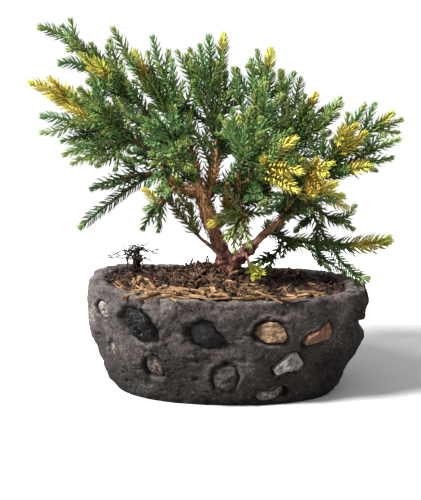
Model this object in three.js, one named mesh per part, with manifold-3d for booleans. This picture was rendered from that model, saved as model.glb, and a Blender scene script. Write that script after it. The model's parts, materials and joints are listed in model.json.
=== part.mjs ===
// Juniper bonsai in a hand-built dark pot that is set with rough stones.
// Millimetres, +Z up. The origin is the middle of the pot's flat underside and -Y is the front.
import * as THREE from 'three';
import { mergeVertices } from 'three/addons/utils/BufferGeometryUtils.js';
import Module from 'manifold-3d';

const wasm = await Module();
wasm.setup();

// Driving dimensions

const CLEAR = 0.3; // gap between pieces that meet

const RIM = 59; // mean height of the rim
const POT = {
  halfWidth: 79.6,
  halfDepth: 68,
  wall: 11,
  floor: 10,
  squareness: 2.5, // exponent of the plan's rounded outline
  // hand-built unevenness of the plan, and the rise and fall of the rim, as waves round the pot
  wobbles: [{ lobes: 3, phase: 3.74, size: 0.013 }, { lobes: 5, phase: 2, size: 0.008 }],
  rimWaves: [{ lobes: 2, phase: -1.57, size: 1.8 }, { lobes: 1, phase: 3.14, size: 0.8 }],
  // lumps of the wall's face, as waves round the pot; the slant is the phase for each millimetre of height
  lumps: [
    { lobes: 4, slant: 0.05, phase: 1, size: 0.9 }, { lobes: 7, slant: -0.1, phase: 2.4, size: 0.8 },
    { lobes: 12, slant: 0.15, phase: 0.3, size: 0.7 }, { lobes: 17, slant: -0.19, phase: 4.1, size: 0.55 },
    { lobes: 23, slant: 0.12, phase: 1.7, size: 0.5 },
  ],
  lumpsFrom: [0, 12], // heights where the lumps begin and where they are full
  // a hollow under the rim at one end, with a lip that bulges over it
  notch: { angle: 84, width: 0.42, height: 40, tall: 4, depth: 4.5, lipHeight: 51, lipTall: 5, lip: 0.8 },
  sides: 54,
  levels: [0, 3, 8, 14, 22, 29, 35, 40, 45, 52, RIM], // heights of the rings of the outside
  // shares of the half width and half depth, and height, from the underside to the rim
  outside: [
    [0.775, 0.85, 0], [0.83, 0.885, 3], [0.885, 0.92, 14], [0.95, 0.96, 29],
    [0.99, 0.99, 43], [1, 1, 52], [0.985, 0.985, RIM],
  ],
  // the same for the inner plan, from the rim to the inner floor
  inside: [[1, 1, RIM - 0.5], [0.97, 0.97, 40], [0.86, 0.87, 18], [0.8, 0.82, 10]],
};

const GROUND = 61; // soil level at the trunk
const SOIL = {
  // share of the inner plan and height, from the wall up to the flat top round the trunk
  top: [[0.98, 53], [0.8, 54.6], [0.55, 57.2], [0.33, 60.2], [0.2, GROUND], [0, GROUND]],
  sides: 20,
};
const LOWEST = 57.8; // no shoot hangs lower, so that the rim stays clear
const TRUNK_FOOT = [1, 6]; // where the trunk leaves the soil

const STONE = {
  jitter: 0.16, // unevenness of a stone's corners
  sunk: 0.3, // share of a stone's depth that its middle lies behind the wall's face
  pocket: 1.5 * CLEAR, // how much larger than the stone its pocket in the wall is
  seed: 500,
};
// Stones that show on the front: degrees round the pot from the front towards +X, height,
// half width, half height, half depth and roll
const FRONT_STONES = [
  ['stone_slate_dark', -4, 38.5, 10.8, 6.8, 4.8, -18],
  ['stone_lump_black', -31, 42.5, 10.5, 8, 6, -20],
  ['stone_pitted_brown', -26, 20, 5.6, 6.2, 4, 10],
  ['stone_round_dark', 0, 16.5, 7, 7, 4, 0],
  ['stone_tan', 13, 41, 8.8, 5.8, 4.8, -12],
  ['stone_brick_red', 35, 38.5, 9, 5.2, 4.5, 36],
  ['stone_white_grey', 23, 23.5, 8.8, 6.4, 5, -5],
  ['stone_pale_left', -54, 47, 4.6, 4.6, 4, 5],
  ['stone_brown_left', -50, 24.5, 6, 4.6, 4, -35],
  ['stone_pale_low', 17, 6.5, 8.5, 4, 4, 12],
];
// Stones on the other sides: the span of degrees, the heights by turns, the largest half sizes,
// the smallest share of those, the share of a step that a stone strays, and the largest roll
const BACK_STONES = {
  count: 4,
  from: 96,
  to: 262,
  heights: [34, 18],
  half: [10.9, 8, 5.2],
  smallest: 0.65,
  stray: 0.3,
  roll: 30,
  seed: 41,
};

const TRUNK = {
  points: [[1, 6, GROUND + CLEAR], [1, 6, 68], [-11, 6, 92], [-16.5, 6, 112]],
  root: 5.4,
  tip: 3.4,
  flare: 2.1, // extra radius at the ground
  flareFade: 10, // how fast the flare is lost along the trunk
  buttress: { lobes: 3, phase: 0.7, size: 0.1, fade: 3 }, // ridges that run down into the roots
  oval: { lobes: 2, phase: 0, size: 0.04 },
  sides: 10,
  steps: 8,
};

// Limbs: the limb that carries each, the share along it, the tip, the bow of its middle and the end radii
const LIMB_ROWS = [
  { name: 'right_stem', on: 'trunk', at: 0.07, tip: [42, -4, 103.5], bow: [0, 0, 2], root: 5, end: 2 },
  { name: 'left_bough', on: 'trunk', at: 0.93, tip: [-39, -3, 118], bow: [0, 0, -2], root: 2.9, end: 1.7 },
  { name: 'left_upper_limb', on: 'left_bough', at: 0.6, tip: [-49, 4, 134], root: 1.7, end: 1.2 },
  {
    name: 'left_hanging_limb', on: 'left_bough', at: 0.5, tip: [-34, -11, 108],
    bow: [0, 0, 2], root: 1.4, end: 1.1,
  },
  { name: 'top_bough', on: 'trunk', at: 1, tip: [-25, 10, 140], bow: [1, 0, 0], root: 2.7, end: 1.6 },
  {
    name: 'top_left_limb', on: 'top_bough', at: 0.5, tip: [-42, 11, 148],
    bow: [2, 0, -2], root: 1.7, end: 1.2,
  },
  {
    name: 'front_left_limb', on: 'top_bough', at: 0.32, tip: [-27, -13, 131],
    bow: [0, 0, -2], root: 1.5, end: 1.15,
  },
  { name: 'middle_bough', on: 'trunk', at: 0.86, tip: [-7, 13, 134], bow: [3, 0, -3], root: 2.1, end: 1.4 },
  {
    name: 'right_upper_bough', on: 'trunk', at: 0.6, tip: [14, 1, 124],
    bow: [4, 0, -4], root: 2.3, end: 1.4,
  },
  {
    name: 'right_top_limb', on: 'right_upper_bough', at: 0.55, tip: [28, 9, 124],
    bow: [0, 0, -2], root: 1.6, end: 1.2,
  },
  {
    name: 'front_middle_limb', on: 'right_upper_bough', at: 0.58, tip: [6, -17, 118],
    bow: [0, 0, -2], root: 1.5, end: 1.15,
  },
  { name: 'centre_limb', on: 'right_upper_bough', at: 0.3, tip: [10, -11, 99], root: 1.4, end: 1.1 },
  {
    name: 'centre_right_limb', on: 'right_upper_bough', at: 0.46, tip: [19, -12, 109],
    root: 1.35, end: 1.1,
  },
  { name: 'right_far_limb', on: 'right_stem', at: 0.8, tip: [51, 4, 115], root: 1.6, end: 1.2 },
  { name: 'front_right_limb', on: 'right_stem', at: 0.7, tip: [36, -21, 107], root: 1.5, end: 1.15 },
  { name: 'under_limb', on: 'right_stem', at: 0.5, tip: [32, 15, 84], bow: [0, 0, 2], root: 1.4, end: 1.1 },
  { name: 'low_spur', on: 'right_stem', at: 0.24, tip: [13, -5, 70], bow: [0, -1, 1], root: 1.3, end: 1.05 },
  { name: 'left_spur', on: 'trunk', at: 0.22, tip: [-13, -2, 81], root: 1.35, end: 1.05 },
  { name: 'back_bough', on: 'trunk', at: 0.76, tip: [-11, 31, 118], bow: [0, 0, -2], root: 2.2, end: 1.4 },
  {
    name: 'back_left_limb', on: 'back_bough', at: 0.5, tip: [-31, 33, 124],
    bow: [0, 0, -1], root: 1.6, end: 1.2,
  },
  {
    name: 'back_right_limb', on: 'back_bough', at: 0.6, tip: [14, 34, 118],
    bow: [0, 0, -1], root: 1.6, end: 1.2,
  },
];
const LIMBS = LIMB_ROWS.map((row) => ({ bow: [0, 0, 1], ...row }));
const LIMB_SIDES = 6;
const LIMB_STEPS = 4;
const FORK_CLEAR = 1.2 * CLEAR; // gap left where a limb is cut to the surface of another
const LIMB_ROOM = 1.1; // share of a limb's radius that shoots keep clear of

// Foliage: the limb that carries each mass, the tips of its leaders, the rise of their bends
// and how much wider apart than usual their side shoots stand
const FOLIAGE_ROWS = [
  { name: 'left_low', on: 'left_bough', tips: [[-85, -12, 87], [-78, -16, 110]], arch: 3, sparse: 6 },
  {
    name: 'left_middle', on: 'left_upper_limb', arch: 4,
    tips: [[-95, -9, 129], [-98, 3, 137], [-108, -6, 151], [-80, -24, 156], [-84, -18, 166], [-114, -4, 170]],
  },
  {
    name: 'left_top', on: 'top_left_limb', arch: 15,
    tips: [[-80, -10, 171], [-98, -4, 182], [-110, 0, 202]],
  },
  {
    name: 'left_hanging', on: 'left_hanging_limb', sparse: 2,
    tips: [[-49, -10, 87], [-39, -14, 86], [-48, -16, 112]],
  },
  {
    name: 'top_left', on: 'top_bough', arch: -8,
    tips: [[-69, 5, 203], [-56, 2, 190], [-46, 8, 199], [-34, 4, 186]],
  },
  {
    name: 'front_left', on: 'front_left_limb',
    tips: [
      [-37, -38, 113], [-22, -44, 123], [-34, -46, 132], [-46, -36, 139], [-22, -40, 139], [-42, -40, 154],
      [-31, -42, 157],
    ],
  },
  {
    name: 'top_middle', on: 'middle_bough', arch: 0,
    tips: [[-26, 6, 189], [-18, 0, 194], [-13, 6, 200], [-4, 4, 201], [5, 18, 176]],
  },
  {
    name: 'top_right', on: 'right_upper_bough', arch: 0,
    tips: [[1, 4, 182], [12, 6, 187], [23, 5, 193], [25, 12, 180]],
  },
  {
    name: 'right_top', on: 'right_top_limb', arch: 1,
    tips: [[65, 0, 163], [50, 2, 168], [41, 6, 177], [29, 2, 181]],
  },
  {
    name: 'front_middle', on: 'front_middle_limb',
    tips: [[10, -40, 136], [24, -38, 140], [1, -32, 157], [11, -36, 158], [29, -20, 166]],
  },
  { name: 'centre_low', on: 'centre_limb', tips: [[7, -26, 88], [-1, -26, 84], [-11, -18, 92], [-2, -20, 112]] },
  {
    name: 'centre_right', on: 'centre_right_limb', arch: 3,
    tips: [[9, -34, 108], [12, -38, 120], [18, -40, 131]],
  },
  {
    name: 'right_far', on: 'right_far_limb', sparse: 1.5,
    tips: [[81, -14, 127], [70, -18, 150], [98, -5, 143], [94, -4, 158], [77, -6, 162]],
  },
  {
    name: 'front_right', on: 'front_right_limb',
    tips: [
      [16, -34, 105], [65, -22, 110], [47, -40, 112], [37, -42, 115], [37, -42, 124], [47, -40, 131],
      [35, -42, 134],
    ],
  },
  { name: 'right_low', on: 'right_stem', tips: [[81, -18, 61], [76, -2, 102]], arch: -16, sparse: 6 },
  {
    name: 'under_right', on: 'under_limb', arch: -7, sparse: 6,
    tips: [[26, 24, 68], [44, 32, 76], [95, -6, 84]],
  },
  { name: 'low_sprig', on: 'low_spur', tips: [[18, -27, 66]], arch: 1 },
  { name: 'left_sprig', on: 'left_spur', tips: [[-20, -12, 91], [-31, -8, 100], [-22, -10, 104]], arch: 1 },
  {
    name: 'back_middle', on: 'back_bough', arch: 4, sparse: 1.6,
    tips: [[4, 66, 136], [10, 60, 156], [-34, 56, 166]],
  },
  {
    name: 'back_left', on: 'back_left_limb', arch: 4, sparse: 1.6,
    tips: [[-74, 52, 142], [-44, 62, 150], [-70, 46, 164]],
  },
  {
    name: 'back_right', on: 'back_right_limb', arch: 4, sparse: 1.6,
    tips: [[58, 54, 132], [30, 62, 146], [54, 50, 158]],
  },
];
const FOLIAGE = FOLIAGE_ROWS.map((row) => ({ arch: 2, sparse: 1, ...row }));
// The bare stem of a mass, and the shares along it where its first and last leaders leave
const STEM = { length: 10, slim: 0.95, sides: 5, steps: 2, end: 1.1, firstFork: 0.45, lastFork: 0.92 };

const SHOOT = {
  bare: 0.22, // share of a leader that has lost its needles
  bendPlace: 0.6, // share of a leader where it bends
  tipNeedles: 3, // how far the last needles reach past the end of a leader
  sideBare: 0.12,
  firstSide: 0.15, // shares of a leader where its side shoots begin and end
  lastSide: 0.66,
  sideGap: 5.6, // distance between side shoots
  solidEvery: 6, // of the side shoots, one in this many is in the solids
  sideLength: 24, // of the lowest side shoot
  sideLongest: 0.6, // largest length of a side shoot as a share of its leader
  sideTaper: 0.5, // how much shorter the side shoots near the tip are
  sideSpread: [0.8, 1.2], // range of a side shoot's length about that
  sideAngles: [36, 48], // range of degrees between a side shoot and its leader
  sideBend: 0.45, // how far a side shoot turns back along its leader
  goldenAngle: 137.5, // degrees from one side shoot to the next round the leader
  sampleStep: 2, // spacing of the places where a growing shoot looks for others
  shortest: 6, // a shoot that would be shorter is left out
  bareRadius: 1.1,
  coreRoot: 0.6, // radii of the core at its root, past its root and at its tip
  core: 1.3,
  coreTip: 0.8,
  rootShare: 0.06, // where the pointed root ends
  tipWhorls: 0.7, // length past the last whorl, in whorls
  steps: 100, // places along a shoot where a whorl can stand
};
const NEEDLE = {
  whorlStep: 14,
  perWhorl: 3,
  twist: 44, // degrees from one whorl to the next
  reach: 2.4, // how far a needle stands out of the core
  lean: 3.6, // how far it reaches forward
  full: [1.05, 0.75], // share of the reach at the root and at the tip of a shoot
  room: 2.6, // a needle closer than this to another shoot is left out
};

const [LEADER_POINTS, SIDE_POINTS] = [30, 12]; // places on a shoot that the needles of others look for

const DRY_ROOTS = {
  foot: [-55, 25, 54],
  wires: 6,
  radius: 0.55,
  taper: [1.3, 0.6], // shares of the radius at the foot and at the tip
  knob: 2.4,
  rise: [8, 20],
  spread: 25,
  nearest: 0.35, // smallest share of the spread
  flat: 0.5, // depth of the tuft as a share of its width
  stray: 0.6, // share of a step that a wire strays round the foot
  kinks: 3,
  kink: 2.2, // size of the kinks
  curl: 1.6, // how late a wire turns outwards
  droop: 1.9, // how far a wire nods over, in radians
  seed: 77,
};

// Small helpers

const vec = (xyz) => new THREE.Vector3(...xyz);
const degrees = THREE.MathUtils.degToRad;
const mix = THREE.MathUtils.lerp;
const UP = new THREE.Vector3(0, 0, 1);
const SMALL_TURN = 0.02; // radians
const SMALL_RISE = 1;
const wave = ({ lobes, phase, size }, angle) => size * Math.sin(lobes * angle + phase);
const total = (waves, angle) => waves.reduce((sum, one) => sum + wave(one, angle), 0);

// A repeatable stream of numbers from 0 to 1.
function seeded(seed) {
  let state = seed >>> 0;
  return () => {
    state = (state + 0x6d2b79f5) >>> 0;
    let t = Math.imul(state ^ (state >>> 15), state | 1);
    t ^= t + Math.imul(t ^ (t >>> 7), t | 61);
    return ((t ^ (t >>> 14)) >>> 0) / 4294967296;
  };
}

function solidOf(geometry) {
  const bare = geometry.clone();
  bare.deleteAttribute('normal');
  bare.deleteAttribute('uv');
  const merged = mergeVertices(bare, 1e-4);
  return new wasm.Manifold(new wasm.Mesh({
    numProp: 3,
    vertProperties: new Float32Array(merged.attributes.position.array),
    triVerts: new Uint32Array(merged.index.array),
  }));
}

function geometryOf(solid) {
  const { vertProperties, triVerts } = solid.getMesh();
  const geometry = new THREE.BufferGeometry();
  geometry.setAttribute('position', new THREE.BufferAttribute(vertProperties, 3));
  geometry.setIndex(new THREE.BufferAttribute(triVerts, 1));
  geometry.computeVertexNormals();
  return geometry;
}

// Joins solids, drops loose scraps and fills any hollow that the joining sealed.
function fuse(solids) {
  const joined = solids.reduce((whole, solid) => whole.add(solid));
  const bodies = joined.decompose();
  return bodies.reduce((best, body) => (body.volume() > best.volume() ? body : best));
}

function named(name, geometry, material) {
  const mesh = new THREE.Mesh(geometry, material);
  mesh.name = name;
  return mesh;
}

const finish = (color, roughness) => new THREE.MeshStandardMaterial({ color, roughness, metalness: 0 });
const MATERIAL = {
  pot: finish(0x46464a, 0.95),
  soil: finish(0x4a3426, 1),
  bark: finish(0x7b4a37, 0.9),
  needles: finish(0x3c6a35, 0.75),
  goldNeedles: finish(0xc8b03a, 0.75),
  dryRoots: finish(0x2a201c, 0.95),
  darkStone: finish(0x2b2b2f, 0.8),
  brownStone: finish(0x7a6048, 0.9),
  paleStone: finish(0xa9a9a4, 0.85),
};

// Pot

// A point of the pot's rounded outline, with the unevenness of a hand-built wall.
function planPoint(angle, halfWidth, halfDepth) {
  const c = Math.sin(angle);
  const s = -Math.cos(angle);
  const power = 2 / POT.squareness;
  const uneven = 1 + total(POT.wobbles, angle);
  return new THREE.Vector2(
    halfWidth * Math.sign(c) * Math.abs(c) ** power,
    halfDepth * Math.sign(s) * Math.abs(s) ** power,
  ).multiplyScalar(uneven);
}

// The rim's rise and fall, which fades out down the wall.
function rimLift(angle, z) {
  const base = POT.floor + CLEAR;
  const share = Math.max(0, z - base) / (RIM - base);
  return share ** 2 * total(POT.rimWaves, angle);
}

// How far the wall's face stands out of its plain shape: its lumps, and the hollow and lip at one end.
function wallRelief(angle, z) {
  const { lumps, lumpsFrom, notch } = POT;
  const full = THREE.MathUtils.smoothstep(z, ...lumpsFrom);
  const lump = lumps.reduce((sum, one) => sum + wave(one, angle + (one.slant * z) / one.lobes), 0);
  const turn = Math.atan2(Math.sin(angle - degrees(notch.angle)), Math.cos(angle - degrees(notch.angle)));
  const beside = Math.exp(-((turn / notch.width) ** 4));
  const hollow = notch.depth * Math.exp(-(((z - notch.height) / notch.tall) ** 2));
  const lip = notch.lip * Math.exp(-(((z - notch.lipHeight) / notch.lipTall) ** 2));
  return full * lump + beside * (lip - hollow);
}

// The half width and half depth of the plain outside at a height.
function outsideAt(height) {
  const found = POT.outside.findIndex(([, , z]) => z > height);
  const above = found < 0 ? POT.outside.length - 1 : found;
  const [[lowWide, lowDeep, low], [highWide, highDeep, high]] = POT.outside.slice(above - 1, above + 1);
  const rise = (height - low) / (high - low);
  return [POT.halfWidth * mix(lowWide, highWide, rise), POT.halfDepth * mix(lowDeep, highDeep, rise)];
}

// A point of the wall's outer face in plan.
function outsidePoint(angle, height) {
  const relief = wallRelief(angle, height);
  return planPoint(angle, ...outsideAt(height).map((half) => half + relief));
}

// A lathe whose rings follow the pot's plan: place(angle, row) gives each point of it.
function planLathe(profile, sides, place) {
  const geometry = new THREE.LatheGeometry(profile, sides);
  const position = geometry.attributes.position;
  for (let side = 0; side <= sides; side++) {
    const angle = (2 * Math.PI * side) / sides;
    profile.forEach((_, row) => {
      position.setXYZ(side * profile.length + row, ...place(angle, row).toArray());
    });
  }
  return geometry;
}

function potGeometry() {
  const outside = POT.levels.map((z) => [1, 1, z]);
  const rows = [[0, 0, 0], ...outside, ...POT.inside, [0, 0, POT.floor]];
  const profile = rows.map(([wide, , z]) => new THREE.Vector2(wide, z));
  return planLathe(profile, POT.sides, (angle, row) => {
    const [wide, deep, z] = rows[row];
    const inner = [(POT.halfWidth - POT.wall) * wide, (POT.halfDepth - POT.wall) * deep];
    const onOutside = row > 0 && row <= outside.length;
    const plan = onOutside ? outsidePoint(angle, z) : planPoint(angle, ...inner);
    return new THREE.Vector3(plan.x, plan.y, z + rimLift(angle, z));
  });
}

function soilGeometry() {
  const [floor, ...sides] = POT.inside.slice(1).reverse();
  const bottom = [[0, 0, POT.floor + CLEAR], [floor[0], floor[1], POT.floor + CLEAR]];
  const top = SOIL.top.map(([share, z]) => [share, share, z]);
  const rows = [...bottom, ...sides, ...top];
  const profile = rows.map(([wide, , z]) => new THREE.Vector2(wide, z));
  const inset = POT.wall + 2 * CLEAR;
  const firstTop = rows.length - top.length;
  return planLathe(profile, SOIL.sides, (angle, row) => {
    const [wide, deep, z] = rows[row];
    const plan = planPoint(angle, (POT.halfWidth - inset) * wide, (POT.halfDepth - inset) * deep);
    if (row < firstTop) return new THREE.Vector3(plan.x, plan.y, z + rimLift(angle, z));
    const pull = 1 - wide;
    return new THREE.Vector3(plan.x + pull * TRUNK_FOOT[0], plan.y + pull * TRUNK_FOOT[1], z);
  });
}

// Stones

// The wall's outer face at an angle round the pot and a height, as a placement that looks outwards.
function wallPlace(angleDegrees, height) {
  const angle = degrees(angleDegrees);
  const onWall = (turn, z) => new THREE.Vector3(...outsidePoint(turn, z).toArray(), z);
  const point = onWall(angle, height);
  const along = onWall(angle + SMALL_TURN, height).sub(point).normalize();
  const up = onWall(angle, height + SMALL_RISE).sub(point).normalize();
  const out = along.clone().cross(up).normalize();
  return { point, turn: new THREE.Matrix4().makeBasis(along, out.clone().cross(along), out) };
}

// An angular stone about its own middle, scaled to its three half sizes.
function stoneGeometry(half, grow, random) {
  const plain = new THREE.DodecahedronGeometry(1).deleteAttribute('normal').deleteAttribute('uv');
  const geometry = mergeVertices(plain);
  const position = geometry.attributes.position;
  for (let i = 0; i < position.count; i++) {
    const uneven = 1 + STONE.jitter * (2 * random() - 1);
    const corner = new THREE.Vector3().fromBufferAttribute(position, i).multiplyScalar(uneven);
    corner.multiply(vec(half.map((size) => size + grow)));
    position.setXYZ(i, ...corner.toArray());
  }
  geometry.computeVertexNormals();
  return geometry;
}

function stoneRows() {
  const { count, from, to, heights, half, smallest, stray, roll, seed } = BACK_STONES;
  const random = seeded(seed);
  const back = Array.from({ length: count }, (_, i) => {
    const sizes = half.map((size) => size * mix(smallest, 1, random()));
    const angle = mix(from, to, (i + stray * random()) / (count - 1 + stray));
    return [`stone_back_${i + 1}`, angle, heights[i % heights.length], ...sizes, mix(-roll, roll, random())];
  });
  return [...FRONT_STONES, ...back];
}

function stoneMaterial(name) {
  if (/white|pale/.test(name)) return MATERIAL.paleStone;
  if (/brown|tan|brick|_[25]$/.test(name)) return MATERIAL.brownStone;
  return MATERIAL.darkStone;
}

// Each stone as a placed mesh, with the pocket that it sits in.
function makeStones() {
  return stoneRows().map(([name, angle, height, halfWide, halfHigh, halfDeep, roll], i) => {
    const half = [halfWide, halfHigh, halfDeep];
    const { point, turn } = wallPlace(angle, height);
    const mesh = named(name, stoneGeometry(half, 0, seeded(STONE.seed + i)), stoneMaterial(name));
    mesh.quaternion.setFromRotationMatrix(turn.multiply(new THREE.Matrix4().makeRotationZ(degrees(roll))));
    const inward = UP.clone().applyQuaternion(mesh.quaternion).multiplyScalar(-STONE.sunk * halfDeep);
    mesh.position.copy(point).add(inward);
    mesh.updateMatrix();
    const grown = stoneGeometry(half, STONE.pocket, seeded(STONE.seed + i));
    return { mesh, pocket: solidOf(grown.applyMatrix4(mesh.matrix)) };
  });
}

// Trunk and limbs

// A closed cylinder bent along a curve, its radius given by the share along it and the angle round it.
function bentCylinder(curve, radiusAt, sides, steps) {
  const geometry = new THREE.CylinderGeometry(1, 1, 1, sides, steps);
  const frames = curve.computeFrenetFrames(steps, false);
  const position = geometry.attributes.position;
  for (let i = 0; i < position.count; i++) {
    const step = Math.round((position.getY(i) + 0.5) * steps);
    const [x, z] = [position.getX(i), position.getZ(i)];
    const radius = Math.hypot(x, z) * radiusAt(step / steps, Math.atan2(z, x));
    const point = curve.getPointAt(step / steps);
    point.addScaledVector(frames.normals[step], radius * Math.cos(Math.atan2(z, x)));
    point.addScaledVector(frames.binormals[step], -radius * Math.sin(Math.atan2(z, x)));
    position.setXYZ(i, ...point.toArray());
  }
  return geometry;
}

function trunkRadius(share, around) {
  const flare = TRUNK.flare * Math.exp(-TRUNK.flareFade * share);
  const { buttress, oval } = TRUNK;
  const ridges = wave(buttress, around) * Math.exp(-buttress.fade * share) + wave(oval, around);
  return (mix(TRUNK.root, TRUNK.tip, share) + flare) * (1 + ridges);
}

// Every limb's curve and radius. A limb starts on its carrier's middle line, or just past its carrier's tip.
function limbLines() {
  const trunkCurve = new THREE.CubicBezierCurve3(...TRUNK.points.map(vec));
  const lines = { trunk: { name: 'trunk', curve: trunkCurve, radiusAt: trunkRadius } };
  for (const { name, on, at, tip, bow, root, end } of LIMBS) {
    const carrier = lines[on].curve;
    const start = carrier.getPoint(at);
    if (at === 1) start.addScaledVector(carrier.getTangent(1), CLEAR);
    const [finish, bend] = [vec(tip), vec(bow)];
    const firstThird = start.clone().lerp(finish, 1 / 3).add(bend);
    const secondThird = start.clone().lerp(finish, 2 / 3).add(bend);
    if (at === 1) firstThird.copy(start).addScaledVector(carrier.getTangent(1), start.distanceTo(finish) / 3);
    const curve = new THREE.CubicBezierCurve3(start, firstThird, secondThird, finish);
    lines[name] = { name, on, at, curve, radiusAt: (share) => mix(root, end, share) };
  }
  return lines;
}

function limbSolid(line, grow) {
  const [sides, steps] = line.name === 'trunk' ? [TRUNK.sides, TRUNK.steps] : [LIMB_SIDES, LIMB_STEPS];
  const radiusAt = (share, around) => line.radiusAt(share, around) + grow;
  return solidOf(bentCylinder(line.curve, radiusAt, sides, steps));
}

// A limb is cut to the surface of its carrier, and of any limb at the same fork that it would run into.
function limbGeometry(line, lines) {
  const whole = limbSolid(line, 0);
  if (!line.on || line.at === 1) return geometryOf(whole);
  const forks = Object.values(lines).filter((other) => other.on === line.on && other.at === 1);
  const around = [lines[line.on], ...forks].map((other) => limbSolid(other, FORK_CLEAR));
  return geometryOf(fuse([around.reduce((limb, other) => limb.subtract(other), whole)]));
}

// Foliage

// The part of a curve up to a share of it.
function shortened(curve, share) {
  const middle = curve.v0.clone().lerp(curve.v1, share);
  return new THREE.QuadraticBezierCurve3(curve.v0.clone(), middle, curve.getPoint(share));
}

// Keeps what has grown, so that each shoot can stop before it meets a limb or another mass.
class Growth {
  constructor(lines) {
    this.taken = [];
    this.limbSamples = [];
    for (const { curve, radiusAt } of Object.values(lines)) {
      const count = Math.ceil(curve.getLength() / SHOOT.sampleStep);
      for (let i = 0; i <= count; i++) {
        const radius = radiusAt(i / count, 0) * LIMB_ROOM;
        this.limbSamples.push({ point: curve.getPoint(i / count), radius });
      }
    }
  }

  clearOfLimbs(point, radius) {
    return this.limbSamples.every((s) => s.point.distanceTo(point) > s.radius + radius + CLEAR);
  }

  clearOf(point, radius, owner) {
    const others = this.taken.every(
      (s) => s.owner === owner || s.point.distanceTo(point) > s.radius + radius + CLEAR,
    );
    return others && this.clearOfLimbs(point, radius) && point.z > LOWEST + radius;
  }

  // The curve as far as it can grow, or null where that is too short.
  grow(curve, bare, owner) {
    const length = curve.getLength();
    const count = Math.ceil(length / SHOOT.sampleStep);
    const samples = [];
    for (let i = 0; i <= count; i++) {
      const point = curve.getPoint(i / count);
      const radius = i / count < bare ? SHOOT.bareRadius : NEEDLE.reach + SHOOT.core;
      if (!this.clearOf(point, radius, owner)) break;
      samples.push({ point, radius, owner });
    }
    const share = (samples.length - 1) / count;
    if (share * length < SHOOT.shortest) return null;
    this.taken.push(...samples);
    return share < 1 ? shortened(curve, share) : curve;
  }
}

// The bare stem of a mass, from just past its limb's tip to where its leaders part.
function stemOf(mass, line) {
  const tangent = line.curve.getTangent(1);
  const start = line.curve.getPoint(1).addScaledVector(tangent, CLEAR);
  const middle = mass.tips.reduce((sum, tip) => sum.add(vec(tip)), new THREE.Vector3());
  const aim = middle.divideScalar(mass.tips.length).sub(start).normalize();
  const elbow = start.clone().addScaledVector(tangent, STEM.length / 2);
  const hub = elbow.clone().addScaledVector(aim, STEM.length / 2);
  const radius = line.radiusAt(1, 0) * STEM.slim;
  return { curve: new THREE.QuadraticBezierCurve3(start, elbow, hub), radius };
}

// Leaders from places along the stem, one after another, to their tips.
function leaderCurves(mass, stem) {
  const last = mass.tips.length - 1;
  return mass.tips.map(vec).map((tip, k) => {
    const hub = stem.curve.getPoint(mix(STEM.firstFork, STEM.lastFork, last > 0 ? k / last : 1));
    const end = tip.clone().addScaledVector(tip.clone().sub(hub).normalize(), -SHOOT.tipNeedles);
    const middle = hub.clone().lerp(end, SHOOT.bendPlace).addScaledVector(UP, mass.arch);
    return new THREE.QuadraticBezierCurve3(hub, middle, end);
  });
}

// Side shoot number n of a leader: it leaves at an angle and then turns along the leader.
function sideCurve(leader, number, sparse, seed) {
  const random = seeded(seed);
  const length = leader.getLength();
  const share = SHOOT.firstSide + (number * SHOOT.sideGap * sparse) / length;
  if (share >= SHOOT.lastSide) return null;
  const root = leader.getPoint(share);
  const tangent = leader.getTangent(share);
  const level = tangent.clone().cross(UP).normalize();
  const turn = degrees(SHOOT.goldenAngle) * number + seed;
  const across = level.applyAxisAngle(tangent, turn);
  const angle = degrees(mix(...SHOOT.sideAngles, random()));
  const out = tangent.clone().multiplyScalar(Math.cos(angle)).addScaledVector(across, Math.sin(angle));
  const along = (share - SHOOT.firstSide) / (1 - SHOOT.firstSide);
  const full = Math.min(SHOOT.sideLength, SHOOT.sideLongest * length);
  const reach = full * (1 - SHOOT.sideTaper * along) * mix(...SHOOT.sideSpread, random());
  const middle = root.clone().addScaledVector(out, reach / 2);
  const tip = middle.clone().addScaledVector(out.lerp(tangent, SHOOT.sideBend).normalize(), reach / 2);
  return new THREE.QuadraticBezierCurve3(root, middle, tip);
}

const shootSeed = (owner, leader, number) => 1000 * (owner + 1) + 100 * leader + number;

// All the shoots of every mass. The leaders grow first, so that no side shoot takes their room.
function growFoliage(lines) {
  const growth = new Growth(lines);
  const masses = FOLIAGE.map((mass, owner) => {
    const stem = stemOf(mass, lines[mass.on]);
    const point = stem.curve.getPoint(STEM.lastFork);
    growth.taken.push({ point, radius: stem.radius, owner });
    return { mass, owner, stem, leaders: [], sides: [] };
  });
  for (const { mass, owner, stem, leaders } of masses) {
    for (const curve of leaderCurves(mass, stem)) {
      const grown = growth.grow(curve, SHOOT.bare, owner);
      if (grown) leaders.push(grown);
    }
  }
  for (const { mass, owner, leaders, sides } of masses) {
    leaders.forEach((leader, k) => {
      for (let number = 0; ; number += SHOOT.solidEvery) {
        const curve = sideCurve(leader, number, mass.sparse, shootSeed(owner, k, number));
        if (!curve) break;
        const grown = growth.grow(curve, SHOOT.sideBare, owner);
        if (grown) sides.push(grown);
      }
    });
  }
  return { masses, growth };
}

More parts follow.
